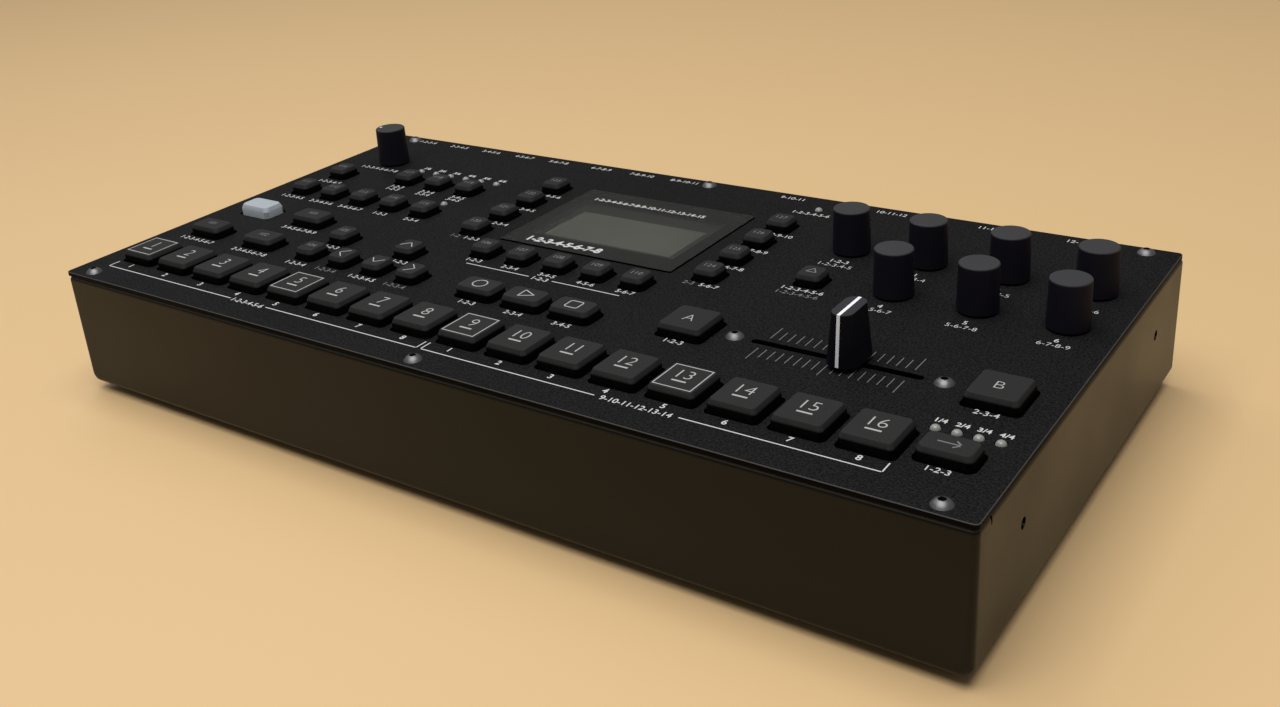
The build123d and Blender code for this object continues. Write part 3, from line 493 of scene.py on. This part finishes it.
def label(bm, number, centre, width, thick, level=PANEL_FACE, weight=LABEL_WEIGHT):
    """A run of plain numbers from a first one, as many as fill a width."""
    text = str(number)
    while len(text) * LABEL_HEIGHT * FIGURE_PITCH < width - LABEL_HEIGHT / 2:
        number += 1
        text += f"-{number}"
    numeral(bm, text, centre, LABEL_HEIGHT, level, thick, weight)


class SamplerCase(bpy.types.PropertyGroup):
    """The painted case and its screws."""
    panel: colour("Panel", "Colour of the top panel's powder coat", "#0a0a0b")
    walls: colour("Walls", "Colour of the case's powder coat", "#0b0b08")
    grain: length("Grain", "Width of the paint's grains", 0.6)
    screw: colour("Screws", "Colour of the blackened screws", "#6f6f71")


class SamplerPrint(bpy.types.PropertyGroup):
    """The printed marks."""
    white: colour("White ink", "Colour of the panel's print", "#cfcfcd")
    key_white: colour("Key ink", "Colour of the print on the large keys", "#b0b0ae")
    grey: colour("Grey ink", "Colour of the print on small keys", "#777778")
    line: length("Line", "Width of a printed line", 0.4)
    thick: length("Ink depth", "Depth of the printed ink", 0.05)


class SamplerKeys(bpy.types.PropertyGroup):
    """The key caps."""
    rubber: colour("Keys", "Colour of the dark keys", "#2b2b2b")
    pale: colour("Pale key", "Colour of the function key", "#a6adb4")
    skirt: colour("Skirt", "Colour of the keys below their bevel", "#020202")


class SamplerControls(bpy.types.PropertyGroup):
    """Knobs, fader and display."""
    knob: colour("Knob tops", "Colour of the knobs' tops", "#39383a")
    flank: colour("Knob sides", "Colour of the knobs' sides", "#15131d")
    cap_top: colour("Fader cap top", "Colour of the fader cap's top", "#333337")
    cap: colour("Fader cap sides", "Colour of the fader cap's sides", "#0e0e15")
    screen: colour("Screen", "Colour of the unlit screen", "#8f9283")
    dot: length("Dot", "Diameter of the volume knob's dot", 1.3)
    stripe: length("Stripe", "Width of the fader cap's line", 1.0)


class SamplerStage(bpy.types.PropertyGroup):
    """Floor, lamps and camera."""
    floor: colour("Floor", "Colour of the floor", "#e0bd8a")
    lens: FloatProperty(
        name="Lens", description="Focal length of the camera in millimetres",
        default=37.79, min=10.0, max=200.0, unit="CAMERA")
    key: FloatProperty(
        name="Key lamp", description="Power of the main lamp",
        default=24.5, min=0.0, unit="POWER")
    fill: FloatProperty(
        name="Fill lamp", description="Power of the second lamp",
        default=6.0, min=0.0, unit="POWER")
    sky: FloatProperty(
        name="Room light", description="Strength of the light from all round",
        default=0.17, min=0.0)


class SAMPLER_OT_case(bpy.types.Operator):
    """Paints the panel, the folded case and its back."""
    bl_idname = "sampler.case"
    bl_label = "Paint the case"

    def execute(self, context):
        look = context.scene.sampler_case
        grain = look.grain / MM
        # Powder-coated steel, baked to a fine dry grain that scatters small points of light
        panel = mottled(
            "fine_texture_powder_coat", look.panel, linear("#262627"),
            grain=grain, relief=0.15, rough=0.6, Specular_IOR_Level=0.05)
        # The coat is painted paler along the edge's rounding as a painted highlight, and black down
        # the cut sides as painted shade
        shade_by_height(panel, *PANEL_SIDE_SHADE, linear("#020202"))
        tint_by_slope(panel, linear("#4c4c4d"), slope=0.6, reach=0.3)
        dress(["top_panel"], panel)
        # The same coat laid smoother: satin, so that the walls carry a soft image of the table
        walls = mottled(
            "satin_powder_coat", look.walls, linear("#10100c"),
            grain=grain, relief=0.008, rough=0.36, spread=0.04, Specular_IOR_Level=0.2)
        # Painted highlight: the bend under the panel is a little paler, as if it caught the lamp
        tint_by_slope(walls, linear("#3f3f3d"), slope=0.66, reach=0.1)
        dress(["bottom_case", "rear_panel"], walls)
        return {"FINISHED"}


class SAMPLER_OT_screws(bpy.types.Operator):
    """Finishes the button-head screws."""
    bl_idname = "sampler.screws"
    bl_label = "Blacken the screws"

    def execute(self, context):
        look = context.scene.sampler_case
        # Blackened steel, turned and oiled, with a soft shine low on its domed heads
        steel = mottled(
            "black_oxide_steel", look.screw, linear("#777779"),
            grain=0.3, relief=0.003, rough=0.42, spread=0.04, Metallic=0.75)
        dress(["case_screws"], steel, DOME_CREASE)
        # Painted shade: black linings in the hexagon sockets, where little light gets in
        hollow_shade = mottled(
            "painted_socket_shade", linear("#020202"), linear("#050505"),
            grain=0.3, relief=0.003, rough=0.6)
        bm = bmesh.new()
        middle = (SCREW_SOCKET_FLOOR + SCREW_SOCKET_RIM) / 2
        half_side = math.pi / HEXAGON
        radius = SCREW_SOCKET / 2 / math.cos(half_side) * MM
        for x, y in SCREWS:
            place = Matrix.Translation(spot(x, y, middle)) @ Matrix.Rotation(half_side, 4, "Z")
            bmesh.ops.create_cone(
                bm, cap_ends=True, segments=HEXAGON, radius1=radius, radius2=radius,
                depth=(SCREW_SOCKET_RIM - SCREW_SOCKET_FLOOR) * MM, matrix=place)
        rims = [f for f in bm.faces if f.normal.z > 0.5]
        bmesh.ops.delete(bm, geom=rims, context="FACES_ONLY")
        bmesh.ops.solidify(bm, geom=bm.faces[:], thickness=SCREW_LINING * MM)
        piece("screw_socket_shade_linings", bm, hollow_shade, "chassis")
        return {"FINISHED"}


class SAMPLER_OT_panel_print(bpy.types.Operator):
    """Prints the lines, scale and plain numbers on the panel."""
    bl_idname = "sampler.panel_print"
    bl_label = "Print the panel"

    def execute(self, context):
        look = context.scene.sampler_print
        thick, line = look.thick / MM, look.line / MM
        bm, faint = bmesh.new(), bmesh.new()
        for left, right, middle, width, number in BRACKETS:
            gap = width / 2 + BRACKET_GAP
            first = ((left, BRACKET_END_Y), (left, BRACKET_Y), (middle - gap, BRACKET_Y))
            second = ((middle + gap, BRACKET_Y), (right, BRACKET_Y), (right, BRACKET_END_Y))
            chain(bm, first, line, PANEL_FACE, thick)
            chain(bm, second, line, PANEL_FACE, thick)
            label(bm, number, (middle, BRACKET_LABEL_Y), width, thick)
        for left, right in RULES:
            chain(bm, ((left, RULE_Y), (right, RULE_Y)), line, PANEL_FACE, thick)
        label(bm, 1, RULE_LABEL, RULE_LABEL_WIDTH, thick)
        last = FADER_TICKS - 1
        for i in range(FADER_TICKS):
            x = FADER_X + FADER_TICK_PITCH * (i - last / 2)
            reach = LONG_TICK_END if i in (0, last / 2, last) else TICK_END
            for side in (-1, 1):
                start = (x, FADER_Y + side * TICK_START)
                end = (x, FADER_Y + side * reach)
                bar(faint, start, end, TICK_WIDTH, PANEL_FACE, thick)
        for x, number in zip(STEP_X, STEP_LABELS):
            place = (x, STEP_LABEL_Y)
            numeral(bm, str(number), place, LABEL_HEIGHT, PANEL_FACE, thick, BOLD_WEIGHT)
        for leds in (PAGE_LEDS, RECORDER_LEDS):
            for i, (x, y) in enumerate(leds):
                text = f"{i + 1}/{len(leds)}"
                place = (x, y + LED_LABEL_RISE)
                numeral(bm, text, place, LED_LABEL_HEIGHT, PANEL_FACE, thick, BOLD_WEIGHT)
        tables = (
            (bm, WHITE_LABELS, WHITE_WEIGHT), (bm, FINE_LABELS, FINE_WEIGHT),
            (faint, GREY_LABELS, GREY_WEIGHT),
        )
        for ink, rows, weight in tables:
            for places, right, back, width in rows:
                for i, (x, y) in enumerate(places):
                    label(ink, i + 1, (x + right, y + back), width, thick, weight=weight)
        piece("panel_print", bm, print_ink("screen_print_ink_white", look.white), "chassis")
        piece("panel_print_grey", faint, print_ink("screen_print_ink_grey", look.grey), "chassis")
        return {"FINISHED"}


class SAMPLER_OT_keys(bpy.types.Operator):
    """Finishes the key caps."""
    bl_idname = "sampler.keys"
    bl_label = "Finish the keys"

    def execute(self, context):
        look = context.scene.sampler_keys
        # Moulded silicone, dry to the touch, dull grey on top and black where it goes down
        rubber = mottled(
            "charcoal_silicone_rubber", look.rubber, linear("#323232"),
            grain=0.4, relief=0.012, rough=0.6, Specular_IOR_Level=0.06)
        # Painted shade: black below the bevel, the skirt's dark colour deepened by painted shade
        # where the cap meets the panel
        shade_by_height(rubber, *KEY_SKIRT_SHADE, look.skirt)
        dress([*STEP_NAMES, *SINGLE_KEYS, *GROUP_KEYS], rubber)
        # The same silicone in pale grey, slightly see-through at its edges
        pale = mottled(
            "pale_silicone_rubber", look.pale, linear("#adb4bb"),
            grain=0.5, relief=0.01, rough=0.5, Subsurface_Weight=0.1, Subsurface_Scale=0.001)
        dress(["function_key"], pale)
        return {"FINISHED"}


class SAMPLER_OT_key_print(bpy.types.Operator):
    """Prints numbers and plain marks on the keys."""
    bl_idname = "sampler.key_print"
    bl_label = "Print the keys"

    def execute(self, context):
        look = context.scene.sampler_print
        white = print_ink("key_print_ink_white", look.key_white)
        grey = print_ink("key_print_ink_grey", look.grey)
        thick, level = look.thick / MM, KEY_TOP
        bar_y = STEP_Y - STEP_BAR_FRONT
        for i, (name, x) in enumerate(zip(STEP_NAMES, STEP_X)):
            bm = bmesh.new()
            place = (x, STEP_Y + STEP_NUMBER_BACK)
            numeral(bm, str(i + 1), place, STEP_NUMBER_HEIGHT, level, thick, LARGE_WEIGHT)
            ends = ((x - STEP_BAR_HALF, bar_y), (x + STEP_BAR_HALF, bar_y))
            bar(bm, *ends, STEP_BAR_WIDTH, level, thick)
            if i % STEP_FRAME_EVERY == 0:
                outline(bm, (x, STEP_Y), STEP_FRAME, THIN_LINE, level, thick, 4, SQUARE_TURN)
            piece("print_" + name, bm, white, name)
        record, play, stop = (bmesh.new() for _ in range(3))
        outline(record, TRANSPORT_KEYS[0], RECORD_MARK, MARK_LINE, level, thick)
        outline(
            play, TRANSPORT_KEYS[1], PLAY_MARK, MARK_LINE, level, thick,
            sides=3, turn=PLAY_TURN, corner=PLAY_CORNER)
        outline(
            stop, TRANSPORT_KEYS[2], STOP_MARK, MARK_LINE, level, thick,
            sides=4, turn=SQUARE_TURN, corner=STOP_CORNER)
        for name, bm in zip(SINGLE_KEYS, (record, play, stop)):
            piece("print_" + name, bm, white, name)
        for letter, (x, y) in zip("AB", SCENE_KEYS):
            name = f"scene_{letter.lower()}_key"
            bm = bmesh.new()
            numeral(bm, letter, (x, y - LETTER_FRONT), LETTER_HEIGHT, level, thick, LARGE_WEIGHT)
            piece("print_" + name, bm, white, name)
        bm = bmesh.new()
        tail, tip = (PAGE_X - PAGE_ARROW_HALF, STEP_Y), (PAGE_X + PAGE_ARROW_HALF, STEP_Y)
        short, side = PAGE_ARROW_HEAD
        head = [(tip[0] - short, STEP_Y + side), tip, (tip[0] - short, STEP_Y - side)]
        chain(bm, (tail, tip), PAGE_ARROW_LINE, level, thick)
        chain(bm, head, PAGE_ARROW_LINE, level, thick)
        piece("print_page_key", bm, grey, "page_key")
        bm = bmesh.new()
        for turns, place in ARROW_KEYS.items():
            arm = Matrix.Rotation(turns * math.pi / 2, 2)
            head = [Vector(place) + arm @ Vector(point) for point in ARROW_POINTS]
            chain(bm, head, THIN_LINE, level, thick)
        piece("print_arrow_keys", bm, white, "navigation_keys")
        number = SMALL_NUMBER_BASE
        for name, places in GROUP_KEYS.items():
            bm = bmesh.new()
            for x, y in places:
                number += 1
                place = (x, y + SMALL_NUMBER_BACK)
                numeral(
                    bm, str(number), place, SMALL_NUMBER_HEIGHT, level, thick, SMALL_NUMBER_WEIGHT)
            if name == "mode_keys":
                outline(
                    bm, TEMPO_KEY, TEMPO_MARK, TEMPO_LINE, level, thick,
                    sides=3, corner=TEMPO_CORNER)
            piece("print_" + name, bm, grey, name)
        return {"FINISHED"}


class SAMPLER_OT_knobs(bpy.types.Operator):
    """Finishes the knobs and marks the volume knob."""
    bl_idname = "sampler.knobs"
    bl_label = "Finish the knobs"

    def execute(self, context):
        look = context.scene.sampler_controls
        # Moulded ABS under a soft-touch lacquer: dark, no gloss, a faint bloom at the edges
        lacquer = mottled(
            "soft_touch_lacquered_abs", look.knob, linear("#3f3e40"),
            grain=0.35, relief=0.01, rough=0.62, Specular_IOR_Level=0.12)
        # Painted shade: the knobs' sides are darker than their tops, as if lit from above
        shade_by_height(lacquer, *KNOB_SHADE_EDGE, look.flank)
        dress(KNOB_NAMES, lacquer)
        bm = bmesh.new()
        bmesh.ops.create_cone(
            bm, cap_ends=True, segments=DOT_SIDES, radius1=look.dot / 2, radius2=look.dot / 2,
            depth=DOT_DEPTH * MM)
        place = spot(VOLUME_KNOB[0] + DOT_RIGHT, VOLUME_KNOB[1] + DOT_BACK, KNOB_TOP)
        bmesh.ops.translate(bm, verts=bm.verts, vec=place)
        ink = print_ink("pad_print_ink_white", context.scene.sampler_print.white)
        piece("volume_dot", bm, ink, "knob_volume")
        return {"FINISHED"}


class SAMPLER_OT_fader(bpy.types.Operator):
    """Finishes the crossfader and lays the white line over its cap."""
    bl_idname = "sampler.fader"
    bl_label = "Finish the fader"

    def execute(self, context):
        look = context.scene.sampler_controls
        # Moulded ABS, satin from the tool, dark on its sides with painted shade and paler on top
        # with painted light
        satin = mottled(
            "satin_black_abs", look.cap_top, linear("#38383c"),
            grain=0.4, relief=0.006, rough=0.5, Specular_IOR_Level=0.12)
        shade_by_height(satin, *CAP_SHADE_EDGE, look.cap)
        dress(["fader_cap"], satin)
        # Stamped steel with a black zinc coat, dull in its slot
        zinc = mottled(
            "black_zinc_steel", linear("#060606"), linear("#0a0a0a"),
            grain=0.5, relief=0.005, rough=0.6, Specular_IOR_Level=0.1)
        dress(["fader_lever", "fader_body"], zinc)
        low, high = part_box("fader_cap")
        x = (low.x + high.x) / 2
        y = (low.y + high.y) / 2
        top_half = CAP_TOP_DEPTH / 2 * MM
        foot = low.z + CAP_LINE_FOOT * MM
        path = [(high.y, foot), (y + top_half, high.z), (y - top_half, high.z), (low.y, foot)]
        bm = bmesh.new()
        ends = [bm.verts.new((x + side * look.stripe / 2, *path[0])) for side in (-1, 1)]
        edge = bm.edges.new(ends)
        for (y0, z0), (y1, z1) in zip(path, path[1:]):
            grown = bmesh.ops.extrude_edge_only(bm, edges=[edge])["geom"]
            moved = [g for g in grown if isinstance(g, bmesh.types.BMVert)]
            bmesh.ops.translate(bm, verts=moved, vec=(0.0, y1 - y0, z1 - z0))
            edge = next(g for g in grown if isinstance(g, bmesh.types.BMEdge))
        bmesh.ops.recalc_face_normals(bm, faces=bm.faces)
        thickness = (CAP_LINE_SUNK + CAP_LINE_PROUD) * MM
        bmesh.ops.solidify(bm, geom=bm.faces[:], thickness=thickness)
        shift = high.z + CAP_LINE_PROUD * MM - max(v.co.z for v in bm.verts)
        bmesh.ops.translate(bm, verts=bm.verts, vec=(0.0, 0.0, shift))
        ink = print_ink("inlaid_white_paint", linear("#f8fbff"))
        piece("fader_line", bm, ink, "fader")
        return {"FINISHED"}


class SAMPLER_OT_display(bpy.types.Operator):
    """Glazes the display, prints its mask and lays its screen."""
    bl_idname = "sampler.display"
    bl_label = "Glaze the display"

    def execute(self, context):
        look = context.scene.sampler_controls
        ink = context.scene.sampler_print
        # Cast acrylic, polished and slightly smoked, with faint finger marks in its gloss
        acrylic = mottled(
            "smoked_cast_acrylic", linear("#d2d2d1"), linear("#cccccb"),
            grain=30.0, relief=0.0, rough=0.06, spread=0.02, Transmission_Weight=1.0, IOR=1.49)
        # Its sawn edges are painted black, a painted shade for their dark look, so that no light
        # leaks in from the sides
        tint_by_slope(acrylic, linear("#010101"), slope=0.0, reach=0.5)
        dress(["display_window"], acrylic)
        # Moulded ABS, matt black where it holds the glass
        holder = mottled(
            "matt_black_abs", linear("#0d0d0d"), linear("#131313"),
            grain=0.5, relief=0.01, rough=0.6)
        dress(["display_module"], holder)
        low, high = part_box("display_window")
        middle = (low + high) / 2
        half = (high - low) / 2
        rim = MASK_RIM * MM
        mask = bmesh.new()
        bmesh.ops.create_grid(mask, x_segments=1, y_segments=1, size=1.0)
        bmesh.ops.scale(mask, verts=mask.verts, vec=(half.x - rim, half.y - rim, 1.0))
        inner = mask.faces[:]
        bmesh.ops.inset_region(mask, faces=inner, thickness=MASK_INSET * MM, use_boundary=True)
        for vert in inner[0].verts:
            vert.co.x = math.copysign(MASK_HALF[0] * MM, vert.co.x) + MASK_SHIFT[0] * MM
            vert.co.y = math.copysign(MASK_HALF[1] * MM, vert.co.y) + MASK_SHIFT[1] * MM
        bmesh.ops.delete(mask, geom=inner, context="FACES_ONLY")
        thicken(mask, MASK_THICK)
        place = (middle.x, middle.y, low.z + MASK_THICK * MM)
        bmesh.ops.translate(mask, verts=mask.verts, vec=place)
        # Ink printed behind the acrylic: even, dark, seen only through the gloss
        piece("window_mask", mask, print_ink("back_print_ink_black", linear("#0e0e0f")), "chassis")
        glass_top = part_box("display_module")[1].z - GLASS_SUNK * MM
        # Glass under a polariser, grey-green and dull when unlit
        screen = mottled(
            "display_polariser", look.screen, linear("#959889"),
            grain=0.44, relief=0.002, rough=0.4)
        # The same glass past the polariser's edge, darker
        border = mottled(
            "display_glass_border", linear("#3a3b34"), linear("#3e3f38"),
            grain=1.0, relief=0.001, rough=0.35)
        plates = (
            ("display_border", border, BORDER_SIZE, BORDER_SHIFT, BORDER_RISE),
            ("display_screen", screen, SCREEN_SIZE, SCREEN_SHIFT, SCREEN_RISE),
        )
        for name, material, size, (right, back), rise in plates:
            bm = bmesh.new()
            bmesh.ops.create_grid(bm, x_segments=1, y_segments=1, size=0.5 * MM)
            bmesh.ops.scale(bm, verts=bm.verts, vec=(*size, 1.0))
            thicken(bm, rise - PLATE_LIFT)
            place = (middle.x + right * MM, middle.y + back * MM, glass_top + PLATE_LIFT * MM)
            bmesh.ops.translate(bm, verts=bm.verts, vec=place)
            piece(name, bm, material, "chassis")
        bm = bmesh.new()
        thick = ink.thick / MM
        level = (high.z - PANEL_HIGH.z) / MM
        label(bm, 1, WINDOW_RUN, WINDOW_RUN_WIDTH, thick, level, WINDOW_RUN_WEIGHT)
        numeral(
            bm, "1-2-3-4-5-6-7-8", WINDOW_NUMBER, WINDOW_NUMBER_HEIGHT, level, thick,
            WINDOW_NUMBER_WEIGHT)
        piece("window_print", bm, print_ink("window_print_ink_white", ink.white), "chassis")
        return {"FINISHED"}


class SAMPLER_OT_leds(bpy.types.Operator):
    """Finishes the LED domes."""
    bl_idname = "sampler.leds"
    bl_label = "Finish the LEDs"

    def execute(self, context):
        # Cast epoxy with a milky diffuser, unlit
        epoxy = mottled(
            "milky_epoxy", linear("#8e8d88"), linear("#979691"),
            grain=0.6, relief=0.002, rough=0.16, Subsurface_Weight=0.15, Subsurface_Scale=0.0005)
        dress(["status_leds"], epoxy, DOME_CREASE)
        return {"FINISHED"}


class SAMPLER_OT_sockets(bpy.types.Operator):
    """Finishes the sockets and the power button on the back."""
    bl_idname = "sampler.sockets"
    bl_label = "Finish the sockets"

    def execute(self, context):
        # Moulded PBT, slightly glossy on its bushings
        pbt = mottled(
            "black_pbt", linear("#161616"), linear("#1d1d1d"),
            grain=0.5, relief=0.006, rough=0.4)
        dress(["audio_jacks", "midi_sockets", "dc_inlet", "power_switch_body", "power_button"], pbt)
        # Nickel over brass nuts and drawn steel shells: a cool, soft shine
        nickel = mottled(
            "nickel_plate", linear("#7f8793"), linear("#8b939f"),
            grain=0.4, relief=0.004, rough=0.3, spread=0.05, Metallic=1.0)
        dress(["jack_nuts", "usb_socket", "card_slot"], nickel)
        return {"FINISHED"}


class SAMPLER_OT_inside(bpy.types.Operator):
    """Finishes the boards and what is soldered to them."""
    bl_idname = "sampler.inside"
    bl_label = "Finish the boards"

    def execute(self, context):
        # Glass epoxy under green solder mask, glossy over the woven cloth
        board = mottled(
            "solder_masked_glass_epoxy", linear("#12351f"), linear("#174027"),
            grain=0.6, relief=0.006, rough=0.35)
        dress(["control_board", "main_board"], board)
        # Tinned steel: pale, soft-edged reflections
        tin = mottled(
            "tinned_steel", linear("#9c9c9b"), linear("#a9a9a7"),
            grain=0.5, relief=0.004, rough=0.35, Metallic=1.0)
        dress(["board_standoffs", "rotary_bodies"], tin)
        # Moulded nylon: black and dull
        nylon = mottled(
            "black_nylon", linear("#181818"), linear("#202020"),
            grain=0.5, relief=0.006, rough=0.5)
        dress(["key_switches"], nylon)
        return {"FINISHED"}


class SAMPLER_OT_feet(bpy.types.Operator):
    """Finishes the rubber feet."""
    bl_idname = "sampler.feet"
    bl_label = "Finish the feet"

    def execute(self, context):
        # Moulded EPDM, dull, with a bloom of fine dust
        rubber = mottled(
            "epdm_rubber", linear("#151515"), linear("#242423"),
            grain=0.6, relief=0.02, rough=0.75)
        dress(["rubber_feet"], rubber)
        return {"FINISHED"}


class SAMPLER_OT_stage(bpy.types.Operator):
    """Lays the floor, hangs the lamps and sets the camera."""
    bl_idname = "sampler.stage"
    bl_label = "Set the stage"

    def execute(self, context):
        look = context.scene.sampler_stage
        scene = context.scene
        scene.view_settings.view_transform = "Standard"
        bm = bmesh.new()
        bmesh.ops.create_grid(bm, x_segments=2, y_segments=2, size=FLOOR_HALF)
        bmesh.ops.translate(bm, verts=bm.verts, vec=(0.0, 0.0, CAD_BOX[0][2]))
        mesh = bpy.data.meshes.new("floor")
        bm.to_mesh(mesh)
        bm.free()
        floor = bpy.data.objects.new("floor", mesh)
        # Laminate with a dry, even face
        laminate = mottled(
            "pale_laminate", look.floor, look.floor,
            grain=2.0, relief=0.004, rough=0.55, spread=0.0)
        mesh.materials.append(laminate)
        scene.collection.objects.link(floor)
        world = bpy.data.worlds.new("room")
        world.use_nodes = True
        air = world.node_tree.nodes["Background"]
        air.inputs["Color"].default_value = linear("#f2f0ec")
        air.inputs["Strength"].default_value = look.sky
        scene.world = world
        lamps = (
            ("key_softbox", look.key, KEY_LAMP_SIZE, KEY_LAMP_PLACE),
            ("fill_softbox", look.fill, FILL_LAMP_SIZE, FILL_LAMP_PLACE),
        )
        for name, power, size, place in lamps:
            light = bpy.data.lights.new(name, "AREA")
            light.energy = power
            light.size = size
            lamp = bpy.data.objects.new(name, light)
            lamp.location = place
            lamp.visible_camera = False
            aim = Vector(LAMP_AIM) - Vector(place)
            lamp.rotation_euler = aim.to_track_quat("-Z", "Y").to_euler()
            scene.collection.objects.link(lamp)
        lens = bpy.data.cameras.new("camera")
        lens.lens = look.lens
        lens.sensor_width = SENSOR_WIDTH
        lens.shift_x, lens.shift_y = LENS_SHIFT
        lens.clip_start = CLIP_START
        camera = bpy.data.objects.new("camera", lens)
        turn = Matrix((CAMERA_RIGHT, -CAMERA_DOWN, -CAMERA_AHEAD)).transposed().to_4x4()
        camera.matrix_world = Matrix.Translation(CAMERA_PLACE) @ turn
        scene.collection.objects.link(camera)
        scene.camera = camera
        return {"FINISHED"}


class SAMPLER_PT_dressing(bpy.types.Panel):
    """Lists the steps that dress the sampler."""
    bl_idname = "SAMPLER_PT_dressing"
    bl_label = "Sampler"
    bl_space_type = "VIEW_3D"
    bl_region_type = "UI"
    bl_category = "Sampler"

    def draw(self, context):
        for step in STEPS:
            self.layout.operator(step.bl_idname)


SETTINGS = {
    "sampler_case": SamplerCase,
    "sampler_print": SamplerPrint,
    "sampler_keys": SamplerKeys,
    "sampler_controls": SamplerControls,
    "sampler_stage": SamplerStage,
}
STEPS = (
    SAMPLER_OT_case, SAMPLER_OT_screws, SAMPLER_OT_panel_print, SAMPLER_OT_keys,
    SAMPLER_OT_key_print, SAMPLER_OT_knobs, SAMPLER_OT_fader, SAMPLER_OT_display,
    SAMPLER_OT_leds, SAMPLER_OT_sockets, SAMPLER_OT_inside, SAMPLER_OT_feet, SAMPLER_OT_stage,
)
CLASSES = (*SETTINGS.values(), *STEPS, SAMPLER_PT_dressing)


def register():
    for made in CLASSES:
        bpy.utils.register_class(made)
    for name, group in SETTINGS.items():
        setattr(bpy.types.Scene, name, PointerProperty(type=group))


def unregister():
    for name in SETTINGS:
        delattr(bpy.types.Scene, name)
    for made in reversed(CLASSES):
        bpy.utils.unregister_class(made)


def main():
    register()
    for step in STEPS:
        group, name = step.bl_idname.split(".")
        getattr(getattr(bpy.ops, group), name)()


if __name__ == "__main__":
    main()
